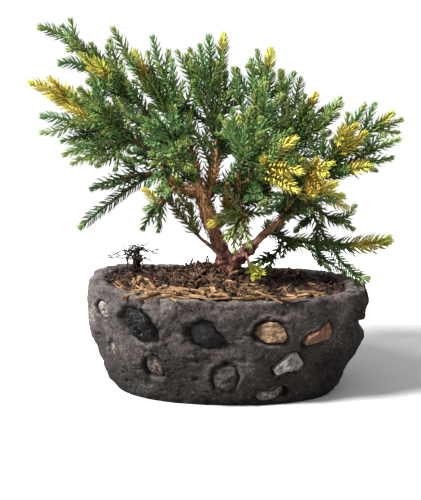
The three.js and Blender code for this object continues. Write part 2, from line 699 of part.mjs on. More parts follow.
// One shoot: a three-sided core with a pointed root, and whorls of needles.
// Each needle is a spike that stands on one face of the core and leans towards the tip.
// A needle that would stand in a limb or in another shoot is left out.
function shootGeometry(curve, bare, growth, others) {
  const length = curve.getLength();
  const whorls = Math.max(2, Math.round((length * (1 - bare)) / NEEDLE.whorlStep));
  const { steps, rootShare, tipWhorls } = SHOOT;
  const frames = curve.computeFrenetFrames(steps, false);
  const n = NEEDLE.perWhorl;
  const points = [];
  const faces = [];
  const shareOf = (ring) => (
    ring === 0 ? rootShare : bare + ((1 - bare) * (ring - 1)) / (whorls + tipWhorls)
  );
  const place = (share, out, around, forward) => {
    const step = Math.min(steps, Math.round(share * steps));
    return curve.getPointAt(Math.min(1, share))
      .addScaledVector(frames.normals[step], out * Math.cos(around))
      .addScaledVector(frames.binormals[step], out * Math.sin(around))
      .addScaledVector(frames.tangents[step], forward);
  };
  const aroundOf = (ring, j) => degrees(NEEDLE.twist) * ring + (2 * Math.PI * j) / n;
  const index = (ring, j) => 1 + ring * n + (j % n);

  points.push(curve.getPointAt(0));
  for (let ring = 0; ring <= whorls + 1; ring++) {
    const share = shareOf(ring);
    const radius = ring === 0 ? SHOOT.coreRoot : mix(SHOOT.core, SHOOT.coreTip, share);
    for (let j = 0; j < n; j++) points.push(place(share, radius, aroundOf(ring, j), 0));
  }
  for (let j = 0; j < n; j++) faces.push(0, index(0, j + 1), index(0, j));
  for (let ring = 0; ring <= whorls; ring++) {
    for (let j = 0; j < n; j++) {
      const [a, b, c, d] = [index(ring, j), index(ring, j + 1), index(ring + 1, j + 1), index(ring + 1, j)];
      const share = (shareOf(ring) + shareOf(ring + 1)) / 2;
      const out = (NEEDLE.reach + SHOOT.coreTip) * mix(...NEEDLE.full, share);
      const tip = place(share, out, aroundOf(ring + 0.5, j + 0.5), NEEDLE.lean);
      const blocked = others.some((point) => point.distanceTo(tip) < NEEDLE.room);
      if (ring > 0 && !blocked && growth.clearOfLimbs(tip, 0)) {
        const p = points.push(tip) - 1;
        faces.push(a, b, p, b, c, p, c, d, p, d, a, p);
      } else {
        faces.push(a, b, c, a, c, d);
      }
    }
  }
  const end = points.push(place(1, 0, 0, NEEDLE.lean)) - 1;
  for (let j = 0; j < n; j++) faces.push(index(whorls + 1, j), index(whorls + 1, j + 1), end);
  const geometry = new THREE.BufferGeometry().setFromPoints(points);
  geometry.setIndex(faces);
  return geometry;
}

function massGeometry({ stem, leaders, sides }, growth) {
  const bark = bentCylinder(stem.curve, (share) => mix(stem.radius, STEM.end, share), STEM.sides, STEM.steps);
  const solids = [solidOf(bark)];
  const shoots = [
    ...leaders.map((curve) => ({ curve, bare: SHOOT.bare, points: curve.getSpacedPoints(LEADER_POINTS) })),
    ...sides.map((curve) => ({ curve, bare: SHOOT.sideBare, points: curve.getSpacedPoints(SIDE_POINTS) })),
  ];
  for (const { curve, bare } of shoots) {
    const others = shoots.filter((shoot) => shoot.curve !== curve).flatMap(({ points }) => points);
    solids.push(solidOf(shootGeometry(curve, bare, growth, others)));
  }
  return geometryOf(fuse(solids));
}

// Dry roots

// A tuft of crooked wiry roots that stand up out of one knob on the soil.
function dryRootsGeometry() {
  const { foot, wires, radius, taper, knob, rise, spread, nearest, flat, stray } = DRY_ROOTS;
  const { kinks, kink, curl, droop, seed } = DRY_ROOTS;
  const random = seeded(seed);
  const middle = vec(foot).add(new THREE.Vector3(0, 0, knob + CLEAR));
  const base = new THREE.IcosahedronGeometry(knob).translate(...middle.toArray());
  const solids = [solidOf(base)];
  for (let i = 0; i < wires; i++) {
    const around = (2 * Math.PI * (i + stray * random())) / wires;
    const out = spread * mix(nearest, 1, random());
    const height = mix(...rise, random());
    const points = Array.from({ length: kinks + 1 }, (_, k) => {
      const share = k / kinks;
      const bent = k === 0 ? 0 : kink * (random() - 0.5);
      return middle.clone().add(new THREE.Vector3(
        out * Math.cos(around) * share ** curl + bent,
        flat * out * Math.sin(around) * share ** curl + bent,
        height * Math.sin(droop * share) + bent,
      ));
    });
    const curve = new THREE.CatmullRomCurve3(points);
    solids.push(solidOf(bentCylinder(curve, (share) => radius * mix(...taper, share), 3, kinks + 1)));
  }
  return geometryOf(fuse(solids));
}

// Assembly

function makePot() {
  const group = new THREE.Group();
  const stones = makeStones();
  const cut = stones.reduce((wall, { pocket }) => wall.subtract(pocket), solidOf(potGeometry()));
  group.add(named('pot', geometryOf(cut), MATERIAL.pot));
  group.add(...stones.map(({ mesh }) => mesh));
  group.add(named('soil', soilGeometry(), MATERIAL.soil));
  group.add(named('dry_roots', dryRootsGeometry(), MATERIAL.dryRoots));
  return group;
}

function makeTree() {
  const group = new THREE.Group();
  const lines = limbLines();
  for (const line of Object.values(lines)) {
    group.add(named(line.name, limbGeometry(line, lines), MATERIAL.bark));
  }
  const { masses, growth } = growFoliage(lines);
  for (const grown of masses) {
    const material = grown.mass.name === 'low_sprig' ? MATERIAL.goldNeedles : MATERIAL.needles;
    group.add(named(`${grown.mass.name}_foliage`, massGeometry(grown, growth), material));
  }
  return group;
}

const bonsai = new THREE.Group();
bonsai.add(makePot(), makeTree());

export default bonsai;
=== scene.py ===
import json
import math

import bpy
import numpy as np
from mathutils import Matrix

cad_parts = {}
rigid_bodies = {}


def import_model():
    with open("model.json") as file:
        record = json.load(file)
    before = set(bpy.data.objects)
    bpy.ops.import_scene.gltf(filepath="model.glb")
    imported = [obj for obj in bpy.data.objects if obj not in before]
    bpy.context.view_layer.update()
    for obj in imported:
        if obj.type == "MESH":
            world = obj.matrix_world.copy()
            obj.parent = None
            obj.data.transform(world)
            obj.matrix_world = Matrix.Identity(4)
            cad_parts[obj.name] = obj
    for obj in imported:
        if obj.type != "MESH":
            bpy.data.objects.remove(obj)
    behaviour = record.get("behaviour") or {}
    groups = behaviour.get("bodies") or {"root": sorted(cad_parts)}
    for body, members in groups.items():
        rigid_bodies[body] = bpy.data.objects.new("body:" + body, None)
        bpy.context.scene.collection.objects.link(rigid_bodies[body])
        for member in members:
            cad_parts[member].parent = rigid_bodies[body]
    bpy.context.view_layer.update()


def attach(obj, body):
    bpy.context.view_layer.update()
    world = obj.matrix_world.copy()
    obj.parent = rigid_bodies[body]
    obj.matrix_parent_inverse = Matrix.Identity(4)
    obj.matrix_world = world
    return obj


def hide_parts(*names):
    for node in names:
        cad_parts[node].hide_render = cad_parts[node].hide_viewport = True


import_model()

MM = 0.001
BODY = "root"
UP = np.array([0.0, 0.0, 1.0])
TURN = 2 * math.pi
# End of the range of random angles, just past a whole turn
ANY_ANGLE = 6.3

# Camera, light in metres and floor in metres, with its greys near the pot and far from it, painted lighter
# far out

CAMERA_PLACE = np.array([-9.05, -520, 137.8])
CAMERA_PITCH = 0.1192
CAMERA_ROLL = math.radians(1.3)
FOCAL_PIXELS = 898
IMAGE_HEIGHT = 500
SENSOR = 36
LIGHT = dict(place=(-0.95, -0.55, 0.95), aim=(0, 0, 0.1), size=0.45, power=100, colour=(1, 0.985, 0.96))
FLOOR_RADII = (0.4, 0.8)
FLOOR_AROUND = 96
FLOOR_PAINTED_LIGHT = (0.2, 0.7, 0.41, 0.97)
FLOOR_LOOK = dict(
    stops=((0.4, 0.4, 0.4), (0.41, 0.41, 0.41), (0.42, 0.42, 0.42)), size=300, fine=40, roughness=(0.8, 0.9),
    depth=0.05,
)

# Pot, as in the solids

RIM = 59
HALF_WIDTH = 79.6
HALF_DEPTH = 68
WALL = 11
FRONT_WALL = 5
FLOOR = 10
SQUARENESS = 2.5
PLAN_WAVES = ((3, 3.74, 0.013), (5, 2, 0.008))
RIM_WAVES = ((2, -1.57, 1.8), (1, 3.14, 0.8))
OUTSIDE = np.array([
    (0.775, 0.85, 0), (0.83, 0.885, 3), (0.885, 0.92, 14), (0.95, 0.96, 29),
    (0.99, 0.99, 43), (1, 1, 52), (0.985, 0.985, RIM),
])
WIDEST = 52
# Lumps of the wall's face as waves round the pot: lobes, phase for each millimetre of height, phase and size
LUMPS = (
    (4, 0.05, 1, 0.9), (7, -0.1, 2.4, 0.8), (12, 0.15, 0.3, 0.7), (17, -0.19, 4.1, 0.55),
    (23, 0.12, 1.7, 0.5),
)
LUMPS_FROM = (0, 12)
# The hollow under the rim at one end, and the lip that bulges over it
NOTCH = dict(angle=math.radians(84), width=0.42, height=40, tall=4, depth=4.5,
             lip_height=51, lip_tall=5, lip=0.8)
TRUNK_FOOT = np.array([1.0, 6.0])
GROUND = 61
CLEAR = 0.3

# Stones that show on the front: name, slot, degrees round the pot, height, half width and half height,
# then the outline as shares of those, anticlockwise from the right
FRONT_STONES = (
    ("stone_slate_dark", "dark_stone", -4, 38.5, 10.6, 7.2, (
        (1, -0.57), (0.17, 0.79), (-0.23, 1), (-0.81, 0.79), (-1, 0.3), (-0.9, -0.3), (-0.23, -1),
        (0.7, -0.85))),
    ("stone_lump_black", "dark_stone", -31, 42.5, 10.4, 8.3, (
        (1, -0.15), (0.55, 0.71), (0, 1), (-0.61, 0.95), (-1, 0.34), (-0.83, -0.2), (-0.33, -0.7), (0.33, -1),
        (0.83, -0.76))),
    ("stone_pitted_brown", "brown_stone", -26, 20, 5.4, 6, (
        (1, -0.26), (0.83, 0.44), (0.27, 1), (-0.56, 0.96), (-1, 0.44), (-1, -0.26), (-0.67, -0.79),
        (-0.04, -1), (0.69, -0.79))),
    ("stone_round_dark", "dark_stone", 0, 16.5, 6.8, 6.9, (
        (1, 0), (0.77, 0.75), (0.1, 1), (-0.7, 0.76), (-1, 0.1), (-0.7, -0.7), (0.1, -1), (0.7, -0.76))),
    ("stone_tan", "brown_stone", 13, 41, 8.6, 5.7, (
        (1, -0.43), (0.83, 0.3), (0.4, 0.89), (-0.2, 0.98), (-0.82, 0.5), (-1, -0.25), (-0.76, -0.72),
        (-0.09, -1), (0.77, -0.9))),
    ("stone_brick_red", "brown_stone", 35, 38.5, 7.6, 6.8, (
        (1, 0.1), (0.81, 0.54), (0.61, 1), (0, 0.62), (-0.84, -0.08), (-1, -0.85), (-0.84, -1), (-0.2, -0.7),
        (0.85, -0.46))),
    ("stone_white_grey", "pale_stone", 23, 23.5, 8.8, 6.2, (
        (1, -0.25), (0.4, 0.92), (0.1, 1), (-0.57, 0.33), (-1, -0.5), (-0.82, -1), (-0.2, -0.72),
        (0.65, -0.75))),
    ("stone_pale_left", "pale_stone", -54, 47, 4.4, 4.6, (
        (1, -0.2), (0.5, 0.8), (-0.4, 1), (-1, 0.3), (-0.7, -0.6), (0.2, -1), (0.8, -0.8))),
    ("stone_brown_left", "brown_stone", -50, 24.5, 5.6, 4.8, (
        (1, -0.5), (0.5, 0.5), (-0.4, 1), (-1, 0.6), (-0.7, -0.3), (0.1, -1), (0.8, -1))),
    ("stone_pale_low", "pale_stone", 17, 6.5, 8.6, 4, (
        (1, 0.4), (0.6, 1), (0, 0.5), (-0.8, 0.2), (-1, -0.4), (-0.6, -1), (0.2, -0.8), (0.9, -0.3))),
)
# Stones at the back, by a seeded rule, each with its slot and the stone it looks like
BACK_STONES = dict(start=96, end=262, heights=(34, 18), half=(10.9, 8, 5.2), smallest=0.65, stray=0.3,
                   seed=41)
BACK_KINDS = (
    ("dark_stone", "stone_slate_dark"), ("brown_stone", "stone_tan"), ("dark_stone", "stone_round_dark"),
    ("dark_stone", "stone_lump_black"),
)
BACK_OUTLINE = dict(seed=5, corners=8, stray=0.25, reach=(0.8, 1.1))

# Trunk and limbs, as in the solids: carrier, share along it, tip, bow, root radius and end radius

TRUNK_POINTS = ((1, 6, GROUND + CLEAR), (1, 6, 68), (-11, 6, 92), (-16.5, 6, 112))
TRUNK_RADII = (5.4, 3.4)
TRUNK_FLARE = (2.1, 10)
# Shares along the right stem, and its radii there under the bark
CLUB = ((0, 0.16, 0.3, 0.42, 1), (4.4, 4.9, 4.3, 2.3, 1.7))
LEVEL_BOW = (0, 0, 1)
LIMBS = (
    ("right_stem", "trunk", 0.07, (42, -4, 103.5), (0, 0, 2), 5, 2),
    ("left_bough", "trunk", 0.93, (-39, -3, 118), (0, 0, -2), 2.9, 1.7),
    ("left_upper_limb", "left_bough", 0.6, (-49, 4, 134), LEVEL_BOW, 1.7, 1.2),
    ("left_hanging_limb", "left_bough", 0.5, (-34, -11, 108), (0, 0, 2), 1.4, 1.1),
    ("top_bough", "trunk", 1, (-25, 10, 140), (1, 0, 0), 2.7, 1.6),
    ("top_left_limb", "top_bough", 0.5, (-42, 11, 148), (2, 0, -2), 1.7, 1.2),
    ("front_left_limb", "top_bough", 0.32, (-27, -13, 131), (0, 0, -2), 1.5, 1.15),
    ("middle_bough", "trunk", 0.86, (-7, 13, 134), (3, 0, -3), 2.1, 1.4),
    ("right_upper_bough", "trunk", 0.6, (14, 1, 124), (4, 0, -4), 2.3, 1.4),
    ("right_top_limb", "right_upper_bough", 0.55, (28, 9, 124), (0, 0, -2), 1.6, 1.2),
    ("front_middle_limb", "right_upper_bough", 0.58, (6, -17, 118), (0, 0, -2), 1.5, 1.15),
    ("centre_limb", "right_upper_bough", 0.3, (10, -11, 99), LEVEL_BOW, 1.4, 1.1),
    ("centre_right_limb", "right_upper_bough", 0.46, (19, -12, 109), LEVEL_BOW, 1.35, 1.1),
    ("right_far_limb", "right_stem", 0.8, (51, 4, 115), LEVEL_BOW, 1.6, 1.2),
    ("front_right_limb", "right_stem", 0.7, (36, -21, 107), LEVEL_BOW, 1.5, 1.15),
    ("under_limb", "right_stem", 0.5, (32, 15, 84), (0, 0, 2), 1.4, 1.1),
    ("low_spur", "right_stem", 0.24, (13, -5, 70), (0, -1, 1), 1.3, 1.05),
    ("left_spur", "trunk", 0.22, (-13, -2, 81), LEVEL_BOW, 1.35, 1.05),
    ("back_bough", "trunk", 0.76, (-11, 31, 118), (0, 0, -2), 2.2, 1.4),
    ("back_left_limb", "back_bough", 0.5, (-31, 33, 124), (0, 0, -1), 1.6, 1.2),
    ("back_right_limb", "back_bough", 0.6, (14, 34, 118), (0, 0, -1), 1.6, 1.2),
)


def mass(name, on, *tips, arch=2, sparse=1):
    return dict(name=name, on=on, tips=np.array(tips, float), arch=arch, sparse=sparse)


# Foliage masses, as in the solids: the limb each grows on, the tips of its leaders, the rise of their middles
# and how much wider than usual their side shoots stand apart
FOLIAGE = (
    mass("left_low", "left_bough", (-85, -12, 87), (-78, -16, 110), arch=3, sparse=6),
    mass("left_middle", "left_upper_limb", (-95, -9, 129), (-98, 3, 137), (-108, -6, 151), (-80, -24, 156),
         (-84, -18, 166), (-114, -4, 170), arch=4),
    mass("left_top", "top_left_limb", (-80, -10, 171), (-98, -4, 182), (-110, 0, 202), arch=15),
    mass("left_hanging", "left_hanging_limb", (-49, -10, 87), (-39, -14, 86), (-48, -16, 112), sparse=2),
    mass("top_left", "top_bough", (-69, 5, 203), (-56, 2, 190), (-46, 8, 199), (-34, 4, 186), arch=-8),
    mass("front_left", "front_left_limb", (-37, -38, 113), (-22, -44, 123), (-34, -46, 132),
         (-46, -36, 139), (-22, -40, 139), (-42, -40, 154), (-31, -42, 157)),
    mass("top_middle", "middle_bough", (-26, 6, 189), (-18, 0, 194), (-13, 6, 200), (-4, 4, 201),
         (5, 18, 176), arch=0),
    mass("top_right", "right_upper_bough", (1, 4, 182), (12, 6, 187), (23, 5, 193), (25, 12, 180), arch=0),
    mass("right_top", "right_top_limb", (65, 0, 163), (50, 2, 168), (41, 6, 177), (29, 2, 181), arch=1),
    mass("front_middle", "front_middle_limb", (10, -40, 136), (24, -38, 140), (1, -32, 157), (11, -36, 158),
         (29, -20, 166)),
    mass("centre_low", "centre_limb", (7, -26, 88), (-1, -26, 84), (-11, -18, 92), (-2, -20, 112)),
    mass("centre_right", "centre_right_limb", (9, -34, 108), (12, -38, 120), (18, -40, 131), arch=3),
    mass("right_far", "right_far_limb", (81, -14, 127), (70, -18, 150), (98, -5, 143), (94, -4, 158),
         (77, -6, 162), sparse=1.5),
    mass("front_right", "front_right_limb", (16, -34, 105), (65, -22, 110), (47, -40, 112), (37, -42, 115),
         (37, -42, 124), (47, -40, 131), (35, -42, 134)),
    mass("right_low", "right_stem", (81, -18, 61), (76, -2, 102), arch=-16, sparse=6),
    mass("under_right", "under_limb", (26, 24, 68), (44, 32, 76), (95, -6, 84), arch=-7, sparse=6),
    mass("low_sprig", "low_spur", (18, -27, 66), arch=1),
    mass("left_sprig", "left_spur", (-20, -12, 91), (-31, -8, 100), (-22, -10, 104), arch=1),
    mass("back_middle", "back_bough", (4, 66, 136), (10, 60, 156), (-34, 56, 166), arch=4, sparse=1.6),
    mass("back_left", "back_left_limb", (-74, 52, 142), (-44, 62, 150), (-70, 46, 164), arch=4, sparse=1.6),
    mass("back_right", "back_right_limb", (58, 54, 132), (30, 62, 146), (54, 50, 158), arch=4, sparse=1.6),
)
STEM = dict(length=10, slim=0.95, end=1.1, first_fork=0.45, last_fork=0.92, bend_place=0.6, tip_needles=3)
LOWEST = 57.8
SAMPLE_STEP = 2
CROWDED_FROM = 0.5
SHORTEST = 6
BARE_RADIUS = 1.1
LEADER_ROOM = 3.7
LIMB_ROOM = 1.1
GOLDEN_ANGLE = 137.5
SIDE_BEND = 0.45
# Shoots of each order: slim share, share where needles begin, the shares of the parent where they begin and
# end, spacing, length of the lowest, its largest share of the parent, how much shorter the last are, range of
# lengths and of angles, the room each keeps and how far it stays from others of its mass
ORDERS = (
    dict(bare=0.22, needled=0),
    dict(bare=0.12, needled=0.08, first=0.15, last=0.66, gap=5.6, length=24, longest=0.6, taper=0.5,
         spread=(0.8, 1.2), angles=(36, 48), room=3, apart=3.8),
    dict(bare=0.12, needled=0.1, first=0.3, last=0.6, gap=11, length=12, longest=0.6, taper=0.4,
         spread=(0.8, 1.2), angles=(38, 50), room=2.6, apart=3.4),
)
# Fine shoots that fill the inner part of the bushy masses
FILL = dict(bare=0.12, first=0.2, last=0.62, gap=4.2, length=13, longest=0.5, taper=0.3, spread=(0.75, 1.2),
            angles=(40, 62), room=1.6, apart=3.2)
BUSHY = ("front_left", "left_middle", "left_top", "back_middle", "back_left", "back_right")
# Short shoots straight on the limbs, and the limbs that bear them from a share of their length on
LIMB_SHOOTS = dict(bare=0.15, last=1, gap=5.6, length=18, longest=1, taper=0.1, spread=(0.7, 1.2),
                   angles=(42, 64), room=2.4, apart=3.8)
BARE_LIMBS = {"trunk": 1.0, "right_stem": 0.72, "left_bough": 0.5, "low_spur": 1.0, "left_spur": 1.0}
LEAFY_FROM = 0.22
THICKEST_NEEDLED = 2.75
LIMB_SHOOT_OWNER = 1000
LIMB_SHOOT_CLEAR = 9
# Seeds of the shoots: the first of each kind and the step from one parent to the next
MASS_SEEDS = 1000
LEADER_SEEDS = 100
TWIG_SEEDS = (50000, 10)
FILL_SEEDS = (70000, 20)
LIMB_SEEDS = (90000, 100)

# Needles: life size, in whorls of three, longer and leaning further out away from the tip
NEEDLE_LENGTH = 6.1
NEEDLE_WIDTH = 1.5
NEEDLE_KEEL = 0.4
NEEDLE_ROOT = 0.75
NEEDLE_BEND = (0.6, 0.08, -0.1)
NEEDLE_LEAN = (16, 46)
NEEDLE_SHORT = 0.6
LEAN_POWER = 0.7
LENGTH_POWER = 0.8
LENGTH_RANGE = (0.8, 1.12)
WIDTH_RANGE = (0.85, 1.1)
WIDTH_LIMITS = (0.75, 1.1)
NEEDLE_STRAY = dict(share=0.12, around=0.16, lean=0.09)
WHORL_STEP = 1.6
BRIGHT_WHORL_STEP = 1.15
BRIGHT = ("gold", "lime", "amber")
PER_WHORL = 3
FEWEST_WHORLS = 3
FIRST_WHORL = (0.2, 0.8)
TIP_NEEDLES = 7
TIP_LENGTH = 11
BUD = dict(share=0.985, turn=2.4, lean=(0.05, 0.4), length=(0.5, 0.62))
TWIG_SKIN = 0.25
SIZE_BY_ORDER = (1.05, 1.0, 0.92)
GOLD_SIZE = 1.15
# Tips of sprays whose needles are longer, how near to them a shoot ends and how much longer its needles are
LONG_NEEDLED = ((18, -27, 66), (95, -6, 84), (-11, -18, 92))
LONG_REACH = 16
LONG_SIZE = 1.25

# Places where the tip of the nearest spray is golden or lime green, each with the length that is so
GOLD_PLACES = (
    (-114, -4, 170, 55), (-56, 2, 190, 16), (23, 5, 193, 13), (50, 2, 168, 9), (70, -18, 150, 22),
    (81, -14, 127, 16), (65, -22, 110, 20), (47, -40, 112, 30), (47, -40, 131, 26), (36, -46, 124, 40),
    (35, -46, 114, 40), (33, -44, 140, 12), (49, -52, 123, 14), (18, -40, 131, 6), (95, -6, 84, 26),
    (54, 50, 158, 20), (-44, 62, 150, 20), (10, 60, 156, 16), (18, -27, 66, 30),
)
LIME_PLACES = (
    (-80, 0, 188, 14), (-11, -18, 92, 6), (94, -4, 158, 10), (-48, -16, 112, 14), (-34, 56, 166, 14),
    (-4, 4, 201, 10),
)
# Middles of bright clusters on the front of the crown, seen from there, each with its radius and tone
CLUSTERS = ((47, 116, 5, "amber"), (48, 122, 7, "gold"), (-74, 178, 5, "gold"), (4, 104, 6, "amber"))
CLUSTER_FRONT = -8
CLUSTER_AT = 0.6
TONE_AT = 0.8
# Masses with olive needles, and those whose stems bear no needles
OLIVE = ("left_sprig", "centre_low")
BARE_STEMMED = ("left_sprig",)
FORK = np.array([-14, 4, 112.0])
DRY_REACH = 22
DRY_SHARE = 0.75
# The tone of the newest needles of a spray, and how often it has them
TIP_TONES = {
    "mid": ("fresh", 0.85), "blue": ("fresh", 0.6), "dark": ("mid", 0.7), "gold": ("lime", 0.35),
    "lime": ("gold", 0.3), "dry": ("dry", 1), "olive": ("fresh", 0.3), "amber": ("gold", 0.3),
}
FRESH_LENGTHS = (3, 11)
AGED_FROM = (0.65, 0.95)
# Sprays that turn to the front: the tip of the leader each grows on, where on it, and its own tip
FRONT_SPRAYS = (
    ((18, -40, 131), 0.62, (36, -46, 124)), ((18, -40, 131), 0.4, (35, -46, 114)),
    ((18, -40, 131), 0.85, (33, -44, 140)), ((47, -40, 131), 0.75, (49, -52, 123)),
    ((47, -40, 131), 0.6, (47, -51, 116)), ((26, 24, 68), 0.55, (25, 11, 62)),
    ((26, 24, 68), 0.8, (18, 17, 67)), ((76, -2, 102), 0.3, (71, -8, 91)),
    ((81, -18, 61), 0.1, (40, -12, 90)), ((7, -26, 88), 0.6, (12, -27, 83)),
    ((-1, -26, 84), 0.6, (4, -28, 80)), ((-22, -10, 104), 0.5, (-27, -12, 108)),
    ((-31, -8, 100), 0.45, (-34, -11, 105)), ((-78, -16, 110), 0.12, (-61, -13, 129)),
    ((-26, 6, 189), 0.3, (-30, 4, 188)), ((29, 2, 181), 0.65, (36, 3, 177)),
)
FRONT_SPRAY_BOW = (0, -1, 1.5)
# Openings through the crown, seen from the front: x and z in the plane of the trunk, and radius
OPENINGS = (
    (-9, 120, 4), (4, 188, 7), (43, 172, 5), (-81, 197, 4), (-91, 181, 4), (-58, 102, 9), (9, 151, 3),
    (-12, 155, 2),
)
OPENING_SAMPLES = 13
NEEDLE_SPREAD = 2.5

# Helpers


def unit(vector):
    return vector / np.linalg.norm(vector, axis=-1, keepdims=True)


def mix(start, end, share):
    return start + (end - start) * share


def rise(value, low, high):
    """How far a value has come from low to high, from 0 to 1."""
    return np.clip((value - low) / (high - low), 0, 1)


def bell(value, power=2):
    """1 at nought, and falling off on both sides of it."""
    return np.exp(-(value ** power))


def turned(vector, axis, angle):
    axis = unit(axis)
    along = axis * (axis @ vector) * (1 - math.cos(angle))
    return vector * math.cos(angle) + np.cross(axis, vector) * math.sin(angle) + along


def seeded(seed):
    """A repeatable stream of numbers from 0 to 1, the same as in the solids."""
    mask = 0xFFFFFFFF
    state = seed & mask

    def draw():
        nonlocal state
        state = (state + 0x6D2B79F5) & mask
        t = ((state ^ (state >> 15)) * (state | 1)) & mask
        t ^= (t + (((t ^ (t >> 7)) * (t | 61)) & mask)) & mask
        return ((t ^ (t >> 14)) & mask) / 4294967296

    return draw


def lattice(cell, seed):
    """A fixed random number from -1 to 1 for each cell."""
    mixed = cell @ np.array([374761393, 668265263, 1440662683]) + seed * 1013904223
    mixed = ((mixed ^ (mixed >> 13)) * 1274126177) & 0x7FFFFFFF
    mixed = ((mixed ^ (mixed >> 15)) * 2246822519) & 0x7FFFFFFF
    return ((mixed ^ (mixed >> 16)) & 0xFFFF) / 32767.5 - 1


def noise(points, size, seed):
    """Smooth noise from -1 to 1 with lumps about size millimetres wide."""
    scaled = points / size
    cell = np.floor(scaled).astype(np.int64)
    part = scaled - cell
    part = part * part * part * (part * (part * 6 - 15) + 10)
    total = np.zeros(points.shape[:-1])
    for corner in range(8):
        offset = np.array([corner & 1, corner >> 1 & 1, corner >> 2])
        weight = np.prod(np.where(offset == 1, part, 1 - part), axis=-1)
        total += weight * lattice(cell + offset, seed)
    return total


def rough(points, rows):
    """Noises added up: the size of the lumps, the seed and the height of each."""
    return sum(height * noise(points, size, seed) for size, seed, height in rows)


class Curve:
    """A Bezier curve."""

    SAMPLES = 201

    def __init__(self, *points):
        self.points = np.array(points, float)
        line = self.at(np.linspace(0, 1, self.SAMPLES))
        self.length = np.linalg.norm(np.diff(line, axis=0), axis=1).sum()

    def blend(self, rows, share):
        part = np.asarray(share, float)[..., None]
        rows = list(rows)
        while len(rows) > 1:
            rows = [mix(first, second, part) for first, second in zip(rows, rows[1:])]
        return rows[0]

    def at(self, share):
        return self.blend(self.points, share)

    def tangent(self, share):
        return unit(self.blend(np.diff(self.points, axis=0), share))

    def shortened(self, share):
        first, second = self.points[:2]
        return Curve(first, mix(first, second, share), self.at(share))


def across_of(tangent):
    """Two directions square to a tangent and to each other."""
    guide = np.array([0.31, 0.87, 0.38])
    side = unit(np.cross(tangent, guide))
    return side, np.cross(side, tangent)


def spoke(tangent, around):
    """A direction square to a tangent, at an angle round it."""
    side, other = across_of(tangent)
    return side * np.cos(around)[..., None] + other * np.sin(around)[..., None]


def leaning(tangent, radial, lean):
    """A direction that leans out of a tangent."""
    return tangent * np.cos(lean)[:, None] + radial * np.sin(lean)[:, None]


def rings_along(points, radii):
    """Rings of points round a line, with radii by point of the line and angle round it."""
    sides = radii.shape[1]
    tangent = unit(np.gradient(points, axis=0))
    return points[:, None] + spoke(tangent[:, None], np.arange(sides) * TURN / sides) * radii[..., None]


REVERSED = [0, 3, 2, 1]


def ring_quads(count, sides):
    """Quads that join rings of points, as many in each ring as there are sides."""
    row = np.arange(count - 1)[:, None] * sides
    here = np.arange(sides)
    after = (here + 1) % sides
    corners = [row + here, row + sides + here, row + sides + after, row + after]
    return np.stack(corners, axis=-1).reshape(-1, 4)


class Soup:
    """Points and faces gathered from many small shapes."""

    def __init__(self):
        self.points = []
        self.faces = []
        self.count = 0

    def add(self, points, *blocks):
        """Adds points and blocks of faces between them."""
        self.points.append(points)
        self.faces += [np.asarray(faces) + self.count for faces in blocks]
        self.count += len(points)

    def add_copies(self, shapes, faces):
        """Adds shapes, an array of copies by points by xyz, that all have the same faces."""
        copies, size = shapes.shape[:2]
        starts = (np.arange(copies) * size)[:, None, None]
        self.add(shapes.reshape(-1, 3), (np.asarray(faces)[None] + starts).reshape(-1, np.shape(faces)[1]))

    def mesh(self, name):
        made = bpy.data.meshes.new(name)
        faces = [face for block in self.faces for face in block.tolist()]
        made.from_pydata(np.concatenate(self.points) * MM, [], faces)
        return made


def ring_soup(points, order=(0, 1, 2, 3)):
    """A skin of rings, from an array of rings by points by xyz, with its quads' corners in an order."""
    soup = Soup()
    soup.add(points.reshape(-1, 3), ring_quads(*points.shape[:2])[:, list(order)])
    return soup


# Corners of a section of a chip, and the faces of one made of three sections
SECTION = ((-1, -1), (1, -1), (1, 1), (-1, 1))
CHIP_FACES = np.concatenate([ring_quads(3, 4)[:, REVERSED], ((3, 2, 1, 0), (8, 9, 10, 11))])


def placed(name, data):
    made = bpy.data.objects.new(name, data)
    bpy.context.scene.collection.objects.link(made)
    return made


def make_piece(name, shape, material, slot, smooth=True):
    """A piece of the part, from a soup or a mesh."""
    mesh = shape.mesh(name) if isinstance(shape, Soup) else shape
    mesh.polygons.foreach_set("use_smooth", np.full(len(mesh.polygons), smooth))
    mesh.materials.clear()
    mesh.materials.append(material)
    piece = placed(name, mesh)
    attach(piece, BODY)
    return piece


TUBE_SIDES = 4


def add_tube(soup, points, radii):
    """A tube of quads along points, with a flat cap at each end."""
    rings = rings_along(points, np.repeat(np.reshape(radii, (-1, 1)), TUBE_SIDES, axis=1)).reshape(-1, 3)
    caps = np.array([[0, 1, 2, 3], [-1, -2, -3, -4]]) % len(rings)
    soup.add(rings, ring_quads(len(points), TUBE_SIDES), caps)


# Materials


def feed(tree, target, inputs):
    """Sets a node's inputs, by links or as plain values."""
    for key, value in inputs.items():
        if isinstance(value, bpy.types.NodeSocket):
            tree.links.new(value, target.inputs[key])
        else:
            target.inputs[key].default_value = value


def node(tree, kind, settings=None, **inputs):
    made = tree.nodes.new(kind)
    for key, value in (settings or {}).items():
        setattr(made, key, value)
    feed(tree, made, inputs)
    return made


def ramp_of(tree, value, stops):
    ramp = node(tree, "ShaderNodeValToRGB", Fac=value)
    elements = ramp.color_ramp.elements
    while len(elements) < len(stops):
        elements.new(0.5)
    for index, colour in enumerate(stops):
        elements[index].position = index / (len(stops) - 1)
        elements[index].color = (*colour, 1)
    return ramp.outputs[0]


def spread_of(tree, value, low, high, least=0, most=1):
    ends = {"Value": value, "From Min": low, "From Max": high, "To Min": least, "To Max": most}
    return node(tree, "ShaderNodeMapRange", **ends).outputs[0]


def between(tree, share, first, second):
    return node(tree, "ShaderNodeMix", {"data_type": "FLOAT"}, Factor=share, A=first, B=second).outputs[0]


